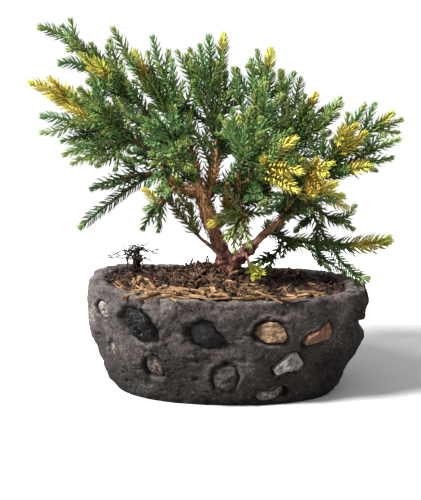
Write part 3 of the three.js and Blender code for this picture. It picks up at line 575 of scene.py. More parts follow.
def blend(tree, kind, share, first, second):
    settings = {"blend_type": kind}
    return node(tree, "ShaderNodeMixRGB", settings, Fac=share, Color1=first, Color2=second).outputs[0]


def grain_of(tree, place, sizes, detail, roughness):
    """Noise with lumps of these sizes along the three axes, in millimetres."""
    mapping = node(tree, "ShaderNodeMapping", Vector=place, Scale=[1 / (size * MM) for size in sizes])
    inputs = dict(Vector=mapping.outputs[0], Scale=1, Detail=detail, Roughness=roughness)
    return node(tree, "ShaderNodeTexNoise", **inputs).outputs[0]


def new_material(name):
    """A new material, its nodes and the place on the object."""
    material = bpy.data.materials.new(name)
    material.use_nodes = True
    tree = material.node_tree
    return material, tree, node(tree, "ShaderNodeTexCoord").outputs["Object"]


def dress_shader(tree, colour, roughness, specular, strength, depth, height):
    """Joins colours, roughness and relief to the shader."""
    relief = node(tree, "ShaderNodeBump", Strength=strength, Distance=depth * MM, Height=height).outputs[0]
    inputs = {"Base Color": colour, "Roughness": roughness, "Specular IOR Level": specular, "Normal": relief}
    feed(tree, tree.nodes["Principled BSDF"], inputs)


# Details and roughness of the noises in a plain surface, the noise values of its outer stops, and its relief
COARSE_DETAIL = 5
FINE_DETAIL = 4
SURFACE_NOISE = 0.6
STOPS_BETWEEN = (0.32, 0.68)
SURFACE_RELIEF = 0.6
PLAIN_SPECULAR = 0.12


def surface(name, stops, size, fine, roughness, depth, weight=0.5, specular=PLAIN_SPECULAR):
    """Colours that follow noise of two sizes in millimetres, with roughness and relief from it too."""
    material, tree, place = new_material(name)
    coarse = grain_of(tree, place, (size,) * 3, COARSE_DETAIL, SURFACE_NOISE)
    small = grain_of(tree, place, (fine,) * 3, FINE_DETAIL, SURFACE_NOISE)
    both = between(tree, weight, coarse, small)
    colour = ramp_of(tree, spread_of(tree, both, *STOPS_BETWEEN), stops)
    shine = spread_of(tree, small, 0, 1, *roughness)
    dress_shader(tree, colour, shine, specular, SURFACE_RELIEF, depth, both)
    return material


# Needles: the three stops of each look
NEEDLE_STOPS = {
    # The dark look: partly older needles, partly painted shade low down and inside the crown
    "dark": ((0.0075, 0.0175, 0.0044), (0.0175, 0.0365, 0.0088), (0.041, 0.073, 0.02)),
    "mid": ((0.033, 0.062, 0.0122), (0.08, 0.136, 0.0298), (0.15, 0.222, 0.066)),
    "blue": ((0.026, 0.061, 0.0178), (0.066, 0.136, 0.0412), (0.13, 0.228, 0.088)),
    "fresh": ((0.07, 0.106, 0.023), (0.124, 0.167, 0.043), (0.2, 0.242, 0.08)),
    "olive": ((0.042, 0.042, 0.012), (0.088, 0.085, 0.029), (0.16, 0.15, 0.064)),
    "lime": ((0.17, 0.19, 0.022), (0.28, 0.29, 0.042), (0.4, 0.4, 0.085)),
    "gold": ((0.2, 0.16, 0.02), (0.335, 0.285, 0.048), (0.52, 0.465, 0.125)),
    "amber": ((0.1, 0.06, 0.008), (0.18, 0.115, 0.014), (0.27, 0.19, 0.03)),
    "dry": ((0.07, 0.03, 0.009), (0.135, 0.064, 0.02), (0.22, 0.115, 0.04)),
}
NEEDLE_SURFACE = dict(size=14, fine=1.3, roughness=(0.55, 0.75), depth=0.12, weight=0.6)
NEEDLE_LOOKS = {}
for look, stops in NEEDLE_STOPS.items():
    NEEDLE_LOOKS[look] = surface(f"needles_{look}", stops, **NEEDLE_SURFACE)
# Other plain looks: three stops, sizes of the coarse and the fine noise, range of roughness and relief
PLAIN_LOOKS = {
    "bark_shreds": (((0.05, 0.02, 0.008), (0.16, 0.08, 0.034), (0.36, 0.21, 0.1)), 5, 0.8, (0.6, 0.9), 0.2),
    "twig_brown": (
        ((0.025, 0.012, 0.006), (0.06, 0.03, 0.014), (0.1, 0.055, 0.026)), 4, 0.7, (0.6, 0.9), 0.2),
    "twig_green": (
        ((0.02, 0.032, 0.01), (0.04, 0.056, 0.017), (0.065, 0.075, 0.024)), 4, 0.7, (0.5, 0.8), 0.1),
    "twig_golden": (((0.09, 0.06, 0.01), (0.16, 0.11, 0.018), (0.24, 0.18, 0.04)), 4, 0.7, (0.5, 0.8), 0.1),
    "soil_dark": (
        ((0.004, 0.002, 0.0015), (0.012, 0.007, 0.005), (0.03, 0.018, 0.012)), 4, 0.8, (0.85, 1), 0.6),
    "chips_straw": (
        ((0.04, 0.018, 0.006), (0.128, 0.073, 0.034), (0.29, 0.195, 0.112)), 6, 0.8, (0.6, 0.9), 0.2),
    "chips_ochre": (
        ((0.0145, 0.006, 0.0023), (0.05, 0.0265, 0.0135), (0.14, 0.09, 0.058)), 6, 0.8, (0.65, 0.95), 0.2),
    "chips_bark": (
        ((0.0032, 0.0014, 0.0009), (0.0118, 0.0054, 0.0033), (0.064, 0.039, 0.03)), 5, 0.8, (0.75, 1), 0.25),
    "crumbs_dark": (
        ((0.003, 0.002, 0.001), (0.009, 0.005, 0.003), (0.024, 0.014, 0.009)), 4, 0.7, (0.8, 1), 0.25),
    "chips_litter": (
        ((0.009, 0.004, 0.002), (0.038, 0.0195, 0.0112), (0.2, 0.134, 0.095)), 5, 0.8, (0.65, 0.95), 0.15),
    "crumbs_pale": (((0.1, 0.085, 0.07), (0.2, 0.175, 0.15), (0.4, 0.36, 0.32)), 3, 0.7, (0.7, 1), 0.15),
    "dry_roots": (
        ((0.004, 0.003, 0.002), (0.011, 0.007, 0.005), (0.035, 0.021, 0.016)), 3, 0.5, (0.8, 1), 0.15),
}
LOOKS = {name: surface(name, *row) for name, row in PLAIN_LOOKS.items()}

# Bark: stops at the foot and at the fork, the heights between which it changes, and its noises: size across
# the limb, size along it and detail
BARK_LOW = ((0.015, 0.0042, 0.0024), (0.061, 0.019, 0.0112), (0.135, 0.049, 0.033), (0.32, 0.155, 0.118))
BARK_HIGH = ((0.028, 0.0095, 0.0025), (0.115, 0.045, 0.014), (0.27, 0.12, 0.042), (0.52, 0.32, 0.165))
BARK_CHANGE = (78, 104)
BARK_GRAINS = ((1.5, 12, 4), (2.6, 4.5, 4), (0.5, 1.6, 2), (3.4, 4.2, 4))
BARK_NOISE = 0.62
FLAKY = 0.5
FINE_SHARE = 0.22
BARK_STOPS_BETWEEN = (0.38, 0.62)
BARK_ROUGHNESS = (0.3, 0.7, 0.45, 0.85)
BARK_FINISH = dict(specular=0.3, strength=0.8, depth=0.7)


def bark_material():
    """Bark with streaks and flakes along each limb, purple-brown at the foot and orange-brown at the fork."""
    material, tree, place = new_material("bark")
    along = node(tree, "ShaderNodeAttribute", {"attribute_name": "grain"}).outputs["Vector"]
    grains = []
    for wide, long, detail in BARK_GRAINS:
        grains.append(grain_of(tree, along, (wide, wide, long), detail, BARK_NOISE))
    streaks, flakes, fine, plates = grains
    height = node(tree, "ShaderNodeSeparateXYZ", Vector=place).outputs["Z"]
    high = spread_of(tree, height, BARK_CHANGE[0] * MM, BARK_CHANGE[1] * MM)
    both = between(tree, FINE_SHARE, between(tree, FLAKY, streaks, flakes), fine)
    both = between(tree, high, plates, both)
    value = spread_of(tree, both, *BARK_STOPS_BETWEEN)
    colour = blend(tree, "MIX", high, ramp_of(tree, value, BARK_LOW), ramp_of(tree, value, BARK_HIGH))
    dress_shader(tree, colour, spread_of(tree, fine, *BARK_ROUGHNESS), height=both, **BARK_FINISH)
    return material


# Growth of the tree

TRUNK_RIDGES = ((3, 0.7, 0.1), (2, 0, 0.04))
RIDGE_FADE = 3


def limb_lines():
    """Each limb's curve, from its carrier's middle line or tip, and its radius by share and angle."""
    lines = {"trunk": (Curve(*TRUNK_POINTS), trunk_radius)}
    for name, on, at, tip, bow, root, end in LIMBS:
        carrier = lines[on][0]
        start = carrier.at(at)
        tip = np.array(tip, float)
        if at == 1:
            start = start + carrier.tangent(1) * CLEAR
        first = mix(start, tip, 1 / 3) + bow
        second = mix(start, tip, 2 / 3) + bow
        if at == 1:
            first = start + carrier.tangent(1) * np.linalg.norm(tip - start) / 3
        lines[name] = (Curve(start, first, second, tip), limb_radius(root, end))
    return lines


def limb_radius(root, end):
    return lambda share, around: mix(root, end, share) + 0 * around


def trunk_radius(share, around):
    size, fade = TRUNK_FLARE
    foot, whole = [high * np.sin(lobes * around + phase) for lobes, phase, high in TRUNK_RIDGES]
    ridges = foot * np.exp(-RIDGE_FADE * share) + whole
    return (mix(*TRUNK_RADII, share) + size * np.exp(-fade * share)) * (1 + ridges)


def stem_of(row, lines):
    """The bare stem of a mass, from its limb's tip to where its leaders part, and its radius."""
    curve, radius = lines[row["on"]]
    start = curve.at(1) + curve.tangent(1) * CLEAR
    aim = unit(row["tips"].mean(axis=0) - start)
    elbow = start + curve.tangent(1) * STEM["length"] / 2
    return Curve(start, elbow, elbow + aim * STEM["length"] / 2), radius(1, 0) * STEM["slim"]


def leader_curves(row, stem):
    """Leaders from places along the stem, one after another, to their tips."""
    count = len(row["tips"])
    for k, tip in enumerate(row["tips"]):
        order = k / (count - 1) if count > 1 else 1
        hub = stem.at(mix(STEM["first_fork"], STEM["last_fork"], order))
        end = tip - unit(tip - hub) * STEM["tip_needles"]
        yield Curve(hub, mix(hub, end, STEM["bend_place"]) + UP * row["arch"], end)


def side_curve(parent, number, seed, rule):
    """Side shoot number n of a shoot: it leaves at an angle and then turns along its parent."""
    random = seeded(seed)
    share = rule["first"] + number * rule["gap"] / parent.length
    if share >= rule["last"]:
        return None
    root = parent.at(share)
    tangent = parent.tangent(share)
    across = turned(unit(np.cross(tangent, UP)), tangent, math.radians(GOLDEN_ANGLE) * number + seed)
    angle = math.radians(mix(*rule["angles"], random()))
    out = tangent * math.cos(angle) + across * math.sin(angle)
    along = (share - rule["first"]) / (1 - rule["first"])
    full = min(rule["length"], rule["longest"] * parent.length)
    reach = full * (1 - rule["taper"] * along) * mix(*rule["spread"], random())
    middle = root + out * reach / 2
    return Curve(root, middle, middle + unit(mix(out, tangent, SIDE_BEND)) * reach / 2)


class Growth:
    """Keeps what has grown, so that each shoot can stop before it meets a limb or another mass."""

    def __init__(self, lines):
        self.points = np.zeros((0, 3))
        self.radii = np.zeros(0)
        self.owners = np.zeros(0, int)
        for curve, radius in lines.values():
            shares = np.linspace(0, 1, math.ceil(curve.length / SAMPLE_STEP) + 1)
            self.take(curve.at(shares), radius(shares, 0 * shares) * LIMB_ROOM, -1)

    def take(self, points, radii, owner):
        self.points = np.concatenate([self.points, points])
        self.radii = np.concatenate([self.radii, radii])
        self.owners = np.concatenate([self.owners, np.full(len(points), owner)])

    def grow(self, curve, bare, room, owner, own_gap=0, root_clear=0):
        """The curve as far as it can grow, or None where that is too short."""
        count = math.ceil(curve.length / SAMPLE_STEP)
        shares = np.arange(count + 1) / count
        points = curve.at(shares)
        radii = np.where(shares < bare, BARE_RADIUS, room)
        reach = curve.length / 2 + room + self.radii.max() + CLEAR
        near = (np.abs(self.points - curve.at(0.5)) < reach).all(axis=1)
        near &= np.linalg.norm(self.points - curve.at(0), axis=1) > root_clear
        others = near & (self.owners != owner)
        own = near & (self.owners == owner)
        apart = np.linalg.norm(points[:, None] - self.points[others], axis=2)
        free = (apart > self.radii[others] + radii[:, None] + CLEAR).all(axis=1)
        free &= points[:, 2] > LOWEST + radii
        crowded = (np.linalg.norm(points[:, None] - self.points[own], axis=2) < own_gap).any(axis=1)
        free &= ~crowded | (shares < CROWDED_FROM)
        kept = count + 1 if free.all() else int(np.argmin(free))
        share = (kept - 1) / count
        if share * curve.length < SHORTEST * min(1, room / BARE_RADIUS / 2):
            return None
        self.take(points[:kept], radii[:kept], owner)
        return curve.shortened(share) if share < 1 else curve


class Shoot:
    """A needled shoot: its curve, its order, the mass it belongs to and the shoot it grows on."""

    def __init__(self, curve, order, owner, parent=None):
        self.curve = curve
        self.order = order
        self.owner = owner
        self.parent = parent
        self.tone = None
        self.bright = 0


def grow_tree(lines):
    """All the stems and all the shoots, the leaders first."""
    growth = Growth(lines)
    stems = [stem_of(row, lines) for row in FOLIAGE]
    for owner, (curve, radius) in enumerate(stems):
        growth.take(curve.at(np.array([STEM["last_fork"]])), np.array([radius]), owner)
    leaders = []
    for owner, (row, (stem, _)) in enumerate(zip(FOLIAGE, stems)):
        curves = leader_curves(row, stem)
        grown = [growth.grow(curve, ORDERS[0]["bare"], LEADER_ROOM, owner) for curve in curves]
        leaders.append([Shoot(curve, 0, owner) for curve in grown if curve])
    sides = []
    for owner, row in enumerate(leaders):
        rule = dict(ORDERS[1], gap=ORDERS[1]["gap"] * FOLIAGE[owner]["sparse"])
        for k, leader in enumerate(row):
            sides += grow_sides(growth, leader, rule, MASS_SEEDS * (owner + 1) + LEADER_SEEDS * k)
    leaders = [shoot for row in leaders for shoot in row]
    sides = clear_of_openings(sides) + front_sprays(leaders)
    twiglets = []
    for index, side in enumerate(sides):
        twiglets += grow_sides(growth, side, ORDERS[2], seed_of(TWIG_SEEDS, index))
    for index, leader in enumerate(leaders):
        if FOLIAGE[leader.owner]["name"] in BUSHY:
            twiglets += grow_sides(growth, leader, FILL, seed_of(FILL_SEEDS, index), order=2)
    for index, (name, (curve, _)) in enumerate(lines.items()):
        rule = dict(LIMB_SHOOTS, first=BARE_LIMBS.get(name, LEAFY_FROM))
        limb = Shoot(curve, 0, LIMB_SHOOT_OWNER)
        twiglets += grow_sides(growth, limb, rule, seed_of(LIMB_SEEDS, index), LIMB_SHOOT_CLEAR)
    return stems, leaders + sides + clear_of_openings(twiglets)


def seed_of(seeds, index):
    first, step = seeds
    return first + step * index


def grow_sides(growth, parent, rule, seed, root_clear=0, order=None):
    """The side shoots of a shoot, of the next order unless another is given."""
    found = []
    number = 0
    while True:
        curve = side_curve(parent.curve, number, seed + number, rule)
        if curve is None:
            return found
        grown = growth.grow(curve, rule["bare"], rule["room"], parent.owner, rule["apart"], root_clear)
        if grown:
            found.append(Shoot(grown, order or parent.order + 1, parent.owner, parent))
        number += 1


def front_sprays(leaders):
    found = []
    for place, share, tip in FRONT_SPRAYS:
        parent = min(leaders, key=lambda shoot: np.linalg.norm(shoot.curve.at(1) - place))
        start = parent.curve.at(share)
        middle = mix(start, np.array(tip, float), 0.5) + FRONT_SPRAY_BOW
        found.append(Shoot(Curve(start, middle, tip), 1, parent.owner, parent))
    return found


def clear_of_openings(shoots):
    """The shoots cut off before they cross an opening, without those of which little would be left."""
    kept = []
    for shoot in shoots:
        shares = np.linspace(0, 1, OPENING_SAMPLES)
        points = shoot.curve.at(shares)
        nearer = CAMERA_PLACE[1] / (CAMERA_PLACE[1] - points[:, 1:2])
        seen = CAMERA_PLACE + (points - CAMERA_PLACE) * nearer
        apart = [np.hypot(seen[:, 0] - x, seen[:, 2] - z) - radius for x, z, radius in OPENINGS]
        inside = np.min(apart, axis=0) < NEEDLE_SPREAD
        share = shares[max(0, int(np.argmax(inside)) - 1)] if inside.any() else 1
        if share * shoot.curve.length > SHORTEST:
            if share < 1:
                shoot.curve = shoot.curve.shortened(share)
            kept.append(shoot)
    return kept


# Bark: sides and fewest rings of the limbs, how far their ends reach, and the skin drawn over them

THICK_SIDES = 28
LIMB_SIDES = 16
STEM_SIDES = 12
FEWEST_RINGS = 8
STEM_RINGS = 14
STEM_ROOT = 2
LIMB_ENDS = (1.2, 0.6)
BARK_VOXEL = 0.42
SKIN_SMOOTHING = 3
# Relief: noises along the limbs, as sizes and seed, and over all, then the heights between which the bark
# grows smooth towards the foot, and the share of each kind of relief above and below those
FIBRES = (np.array([1.0, 1.0, 7.0]), 21)
STRIPS = (np.array([2.2, 2.2, 14.0]), 22)
FLAKES = (np.array([2.6, 2.6, 3.4]), 23)
BANDS = (np.array([9.0, 9.0, 2.0]), 25)
BARK_LUMPS = ((6, 24, 1), (3.4, 26, 0.5))
FIBRE_MIDDLE = 0.35
FLAKE_LIMITS = (0.1, 0.5)
SHAGGY_HEIGHTS = (0.7, 0.7, 1.6)
SMOOTH_BARK = (84, 62)
SHAGGY = (1, 0.25)
LUMPY = (0.6, 1.3)
BANDED = (0.35, 0.8)
BARK_SINK = 0.35
FULL_RELIEF_RADIUS = 5
LEAST_RELIEF = 0.12
BARK_FOOT = GROUND - 2.5
# Sampling of the limbs for the grain of the bark, and the step in it from one limb to the next
GRAIN_STEP = 1.5
GRAIN_SHIFT = 40
GRAIN_BLOCKS = 60


def bark_radius(name, radius):
    return club_radius if name == "right_stem" else radius


def club_radius(share, around):
    """The right stem: swollen near its root and slim from there on."""
    return np.interp(share, *CLUB) + 0 * around


def bark_soup(lines, stems):
    """The trunk, limbs and stems as closed shapes that overlap where they fork."""
    soup = Soup()
    for name, (curve, radius) in lines.items():
        shares = np.linspace(0, 1, max(FEWEST_RINGS, int(curve.length)))
        sides = THICK_SIDES if name in ("trunk", "right_stem") else LIMB_SIDES
        add_limb(soup, bark_radius(name, radius), curve.at(shares), shares, sides)
    for curve, radius in stems:
        shares = np.linspace(0, 1, STEM_RINGS)
        points = curve.at(shares)
        points[0] -= curve.tangent(0) * STEM_ROOT
        add_limb(soup, limb_radius(radius, STEM["end"]), points, shares, STEM_SIDES)
    return soup


def add_limb(soup, radius, points, shares, sides):
    """A closed limb: rings along its curve and a point at each end."""
    around = np.arange(sides) * TURN / sides
    rings = rings_along(points, radius(shares[:, None], around[None])).reshape(-1, 3)
    first = points[0] - unit(points[1] - points[0]) * LIMB_ENDS[0]
    last = points[-1] + unit(points[-1] - points[-2]) * LIMB_ENDS[1]
    here = np.arange(sides)
    after = (here + 1) % sides
    start = len(rings)
    top = start - sides
    first_cap = np.stack([start + 0 * here, here, after], axis=1)
    last_cap = np.stack([start + 1 + 0 * here, top + after, top + here], axis=1)
    soup.add(np.concatenate([rings, [first, last]]), ring_quads(len(points), sides), first_cap, last_cap)


def remeshed(soup, voxel):
    """One skin round overlapping closed shapes, as a mesh."""
    mesh = soup.mesh("rough")
    shape = placed("rough", mesh)
    skin = shape.modifiers.new("skin", "REMESH")
    skin.mode = "VOXEL"
    skin.voxel_size = voxel * MM
    shape.modifiers.new("smooth", "SMOOTH").iterations = SKIN_SMOOTHING
    done = bpy.data.meshes.new_from_object(shape.evaluated_get(bpy.context.evaluated_depsgraph_get()))
    bpy.data.objects.remove(shape)
    bpy.data.meshes.remove(mesh)
    return done


def vectors_of(mesh, key):
    found = np.zeros(len(mesh.vertices) * 3)
    mesh.vertices.foreach_get(key, found)
    return found.reshape(-1, 3)


def make_bark(lines, stems):
    mesh = remeshed(bark_soup(lines, stems), BARK_VOXEL)
    points = vectors_of(mesh, "co") / MM
    along, radius = limb_coordinates(points, lines, stems)
    fibres = np.abs(noise(along, *FIBRES)) - FIBRE_MIDDLE
    flakes = np.clip(noise(along, *FLAKES) - FLAKE_LIMITS[0], 0, FLAKE_LIMITS[1])
    kinds = (fibres, noise(along, *STRIPS), flakes)
    shaggy = sum(height * kind for height, kind in zip(SHAGGY_HEIGHTS, kinds))
    low = rise(points[:, 2], *SMOOTH_BARK)
    relief = mix(*SHAGGY, low) * shaggy + mix(*LUMPY, low) * rough(points, BARK_LUMPS)
    relief = relief + mix(*BANDED, low) * noise(along, *BANDS) - BARK_SINK
    strength = np.clip(radius / FULL_RELIEF_RADIUS, LEAST_RELIEF, 1)
    points = points + vectors_of(mesh, "normal") * (strength * relief)[:, None]
    points[:, 2] = np.maximum(points[:, 2], BARK_FOOT)
    mesh.vertices.foreach_set("co", (points * MM).ravel())
    mesh.name = "bark_skin"
    mesh.attributes.new("grain", "FLOAT_VECTOR", "POINT").data.foreach_set("vector", (along * MM).ravel())
    piece = make_piece("bark_skin", mesh, bark_material(), "bark")
    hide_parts(*lines)


def limb_coordinates(points, lines, stems):
    """Each point in the nearest limb's own frame, with the distance along it last, and that limb's radius."""
    rows = []
    for index, (curve, radius) in enumerate([*lines.values(), *[(c, limb_radius(r, r)) for c, r in stems]]):
        shares = np.linspace(0, 1, max(4, int(curve.length / GRAIN_STEP)))
        starts = shares * curve.length + GRAIN_SHIFT * index
        rows.append((curve.at(shares), curve.tangent(shares), radius(shares, 0 * shares), starts))
    centres, tangents, radii, starts = [np.concatenate(column) for column in zip(*rows)]
    best = np.zeros(len(points), int)
    for block in np.array_split(np.arange(len(points)), GRAIN_BLOCKS):
        apart = np.linalg.norm(points[block][:, None] - centres[None], axis=2) - radii
        best[block] = apart.argmin(axis=1)
    offset = points - centres[best]
    tangent = tangents[best]
    side, other = across_of(tangent)
    beyond = starts[best] + (offset * tangent).sum(1)
    return np.stack([(offset * side).sum(1), (offset * other).sum(1), beyond], axis=1), radii[best]


# Strips of dead bark: limb, first and last share along it and count, then their ranges and their three
# sections, each as its place along the strip, its width and its curl
SHREDDED = (
    ("trunk", 0.45, 1, 100), ("left_bough", 0, 0.7, 70), ("top_bough", 0, 0.5, 40),
    ("right_stem", 0.5, 1, 40),
)
SHRED = dict(seed=19, lean=0.6, stray=0.3, lengths=(4, 10), widths=(0.3, 0.85), thick=0.12, lift=0.2)
SHRED_SECTIONS = ((-0.4, 0.7, 0), (0.1, 1, 0.3), (0.6, 0.3, 0.9))


def make_shreds(lines):
    """Strips of dead bark that peel off round the fork, along their limbs."""
    rng = np.random.default_rng(SHRED["seed"])
    soup = Soup()
    for name, first, last, count in SHREDDED:
        curve, radius = lines[name]
        share = rng.uniform(first, last, count)
        around = rng.uniform(0, TURN, count)
        tangent = curve.tangent(share)
        out = spoke(tangent, around)
        across = np.cross(out, tangent)
        lean = out * rng.uniform(0, SHRED["lean"], (count, 1))
        heading = tangent * rng.choice([-1, 1], (count, 1))
        along = unit(heading + lean + across * rng.normal(0, SHRED["stray"], (count, 1)))
        root = curve.at(share) + out * (bark_radius(name, radius)(share, around) + SHRED["lift"])[:, None]
        length = rng.uniform(*SHRED["lengths"], (count, 1))
        wide = across * rng.uniform(*SHRED["widths"], (count, 1))
        thick = out * SHRED["thick"]
        rows = []
        for place, size, curl in SHRED_SECTIONS:
            centre = root + along * length * place + out * (curl * rng.uniform(0, 1, (count, 1)))
            rows += [centre + wide * right * size + thick * high for right, high in SECTION]
        soup.add_copies(np.stack(rows, axis=1), CHIP_FACES)
    make_piece("bark_shreds", soup, LOOKS["bark_shreds"], "bark", smooth=False)


# Shoots: radii of the twigs of each order at root and tip, where their young wood begins, and their sampling

TWIG_RADII = ((1.05, 0.5), (0.6, 0.34), (0.4, 0.26))
YOUNG_FROM = (0.5, 0.25, 0.0)
TWIG_STEP = 4
FEWEST_TWIG_POINTS = 4
TWIG_SLOTS = {"brown": "bark", "green": "needles", "golden": "gold_needles"}


def make_twigs(shoots):
    soups = {kind: Soup() for kind in TWIG_SLOTS}
    for shoot in shoots:
        curve, order = shoot.curve, shoot.order
        shares = np.linspace(0, 1, max(FEWEST_TWIG_POINTS, int(curve.length / TWIG_STEP) + 2))
        radii = mix(*TWIG_RADII[order], shares)
        points = curve.at(shares)
        old = shares <= YOUNG_FROM[order] + 0.5 / len(shares)
        if old.sum() > 1:
            add_tube(soups["brown"], points[old], radii[old])
        young = shares >= shares[old][-1] if old.any() else shares >= 0
        if young.sum() > 1:
            add_tube(soups["golden" if shoot.tone in BRIGHT else "green"], points[young], radii[young])
    for kind, slot in TWIG_SLOTS.items():
        make_piece(f"twigs_{kind}", soups[kind], LOOKS[f"twig_{kind}"], slot)


NEEDLE_FACES = (
    (0, 2, 1), (0, 1, 4), (0, 4, 3), (1, 2, 5), (1, 5, 4), (2, 0, 3), (2, 3, 5), (3, 4, 6),
    (4, 5, 6), (5, 3, 6),
)


def needle_shapes(root, tangent, radial, lean, length, width, radius):
    """Keeled, pointed needles, each as seven points: two three-cornered rings and a tip."""
    across = np.cross(radial, tangent)
    bend, low, high = NEEDLE_BEND
    first = leaning(tangent, radial, lean + low)
    second = leaning(tangent, radial, lean + high)
    base = root + radial * radius
    middle = base + first * (bend * length)[:, None]
    tip = middle + second * ((1 - bend) * length)[:, None]
    half = across * (width / 2)[:, None]
    deep = np.cross(first, across) * (NEEDLE_KEEL * width)[:, None]
    corners = (-half, half, deep)
    rings = [base + corner * NEEDLE_ROOT for corner in corners] + [middle + corner for corner in corners]
    return np.stack([*rings, tip], axis=1)


def shoot_needles(curve, bare, rng, size, radius=TWIG_SKIN, tips=TIP_NEEDLES, step=WHORL_STEP):
    """The needles of one shoot, with each one's share along it."""
    count = max(FEWEST_WHORLS, int(curve.length * (1 - bare) / step))
    total = count * PER_WHORL
    shares = bare + (1 - bare) * (np.arange(count) + rng.uniform(*FIRST_WHORL)) / count
    whorl = np.repeat(np.arange(count), PER_WHORL)
    share = np.repeat(shares, PER_WHORL) + rng.normal(0, NEEDLE_STRAY["share"] / count, total)
    share = np.clip(share, 0, 1)
    around = TURN * np.tile(np.arange(PER_WHORL), count) / PER_WHORL + whorl * math.pi / PER_WHORL
    around += rng.normal(0, NEEDLE_STRAY["around"], total) + rng.uniform(0, ANY_ANGLE)
    near = np.clip((1 - share) * curve.length / TIP_LENGTH, 0, 1)
    lean = np.radians(mix(*NEEDLE_LEAN, near ** LEAN_POWER)) + rng.normal(0, NEEDLE_STRAY["lean"], total)
    full = NEEDLE_LENGTH * size
    long = full * mix(NEEDLE_SHORT, 1, near ** LENGTH_POWER) * rng.uniform(*LENGTH_RANGE, total)
    share = np.concatenate([share, np.full(tips, BUD["share"])])
    around = np.concatenate([around, rng.uniform(0, ANY_ANGLE) + np.arange(tips) * BUD["turn"]])
    lean = np.concatenate([lean, np.linspace(*BUD["lean"], tips)])
    long = np.concatenate([long, full * np.linspace(*BUD["length"], tips)])
    tangent = curve.tangent(share)
    slim = np.clip(long / NEEDLE_LENGTH, *WIDTH_LIMITS)
    width = NEEDLE_WIDTH * rng.uniform(*WIDTH_RANGE, len(share)) * slim
    return needle_shapes(curve.at(share), tangent, spoke(tangent, around), lean, long, width, radius), share


def colour_sprays(shoots, rng):
    """Deals out colours: the sprays nearest to listed places are golden or lime, the others mostly green."""
    for tone, places in (("gold", GOLD_PLACES), ("lime", LIME_PLACES)):
        large = [one for one in shoots if one.order < 2 and one.owner != LIMB_SHOOT_OWNER and not one.tone]
        tips = np.array([shoot.curve.at(1) for shoot in large])
        for *place, length in places:
            found = large[np.linalg.norm(tips - place, axis=1).argmin()]
            found.tone = tone
            found.bright = length
    for x, z, radius, tone in CLUSTERS:
        for shoot in shoots:
            middle = shoot.curve.at(CLUSTER_AT)
            near = math.hypot(middle[0] - x, middle[2] - z) < radius
            if shoot.order and not shoot.tone and near and middle[1] < CLUSTER_FRONT:
                shoot.tone = tone
                shoot.bright = shoot.curve.length
    for shoot in shoots:
        if not shoot.tone and shoot.parent and shoot.parent.bright:
            apart = np.linalg.norm(shoot.curve.at(0) - shoot.parent.curve.at(1))
            if apart < shoot.parent.bright:
                shoot.tone = shoot.parent.tone
                shoot.bright = shoot.parent.bright
        if not shoot.tone and shoot.owner < len(FOLIAGE) and FOLIAGE[shoot.owner]["name"] in OLIVE:
            shoot.tone = "olive"
        if not shoot.tone:
            shoot.tone = green_tone(shoot.curve.at(TONE_AT), rng)


# Greens by place: the reach and chance of dry shoots round the fork, where the front of the crown begins and
# is in full, the crown's middle and half sizes, and where dark shoots begin and are in full, low and inside;
# their dark needles stand partly for older needles and partly for painted shade
DRY_TONE = dict(reach=24, chance=0.45, fade=60)
FRONT_FROM = (-16, -30)
FRONT_ABOVE = (98, 112)
FRONT_BLUE = 0.85
CROWN_MIDDLE = (-5, 5, 122)
CROWN_HALF = (100, 64, 76)
SHADED_BELOW = (142, 112)
SHADED_INSIDE = (0.75, 0.45)
BLUE_CHANCE = 0.5


def green_tone(tip, rng):
    """Dry near the fork, blue-green in front, dark low down and deep inside, partly painted shade, and two
    greens elsewhere.
    """
    from_fork = np.linalg.norm(tip - FORK)
    if from_fork < DRY_TONE["reach"] and rng.random() < DRY_TONE["chance"] - from_fork / DRY_TONE["fade"]:
        return "dry"
    if rng.random() < FRONT_BLUE * (rise(tip[1], *FRONT_FROM) * rise(tip[2], *FRONT_ABOVE)):
        return "blue"
    out = np.linalg.norm((tip - CROWN_MIDDLE) / CROWN_HALF)
    # Dark needles low down and deep inside: partly older needles, partly painted shade
    if rng.random() < max(rise(tip[2], *SHADED_BELOW), rise(out, *SHADED_INSIDE)):
        return "dark"
    return "blue" if rng.random() < BLUE_CHANCE else "mid"


NEEDLE_SEED = 7


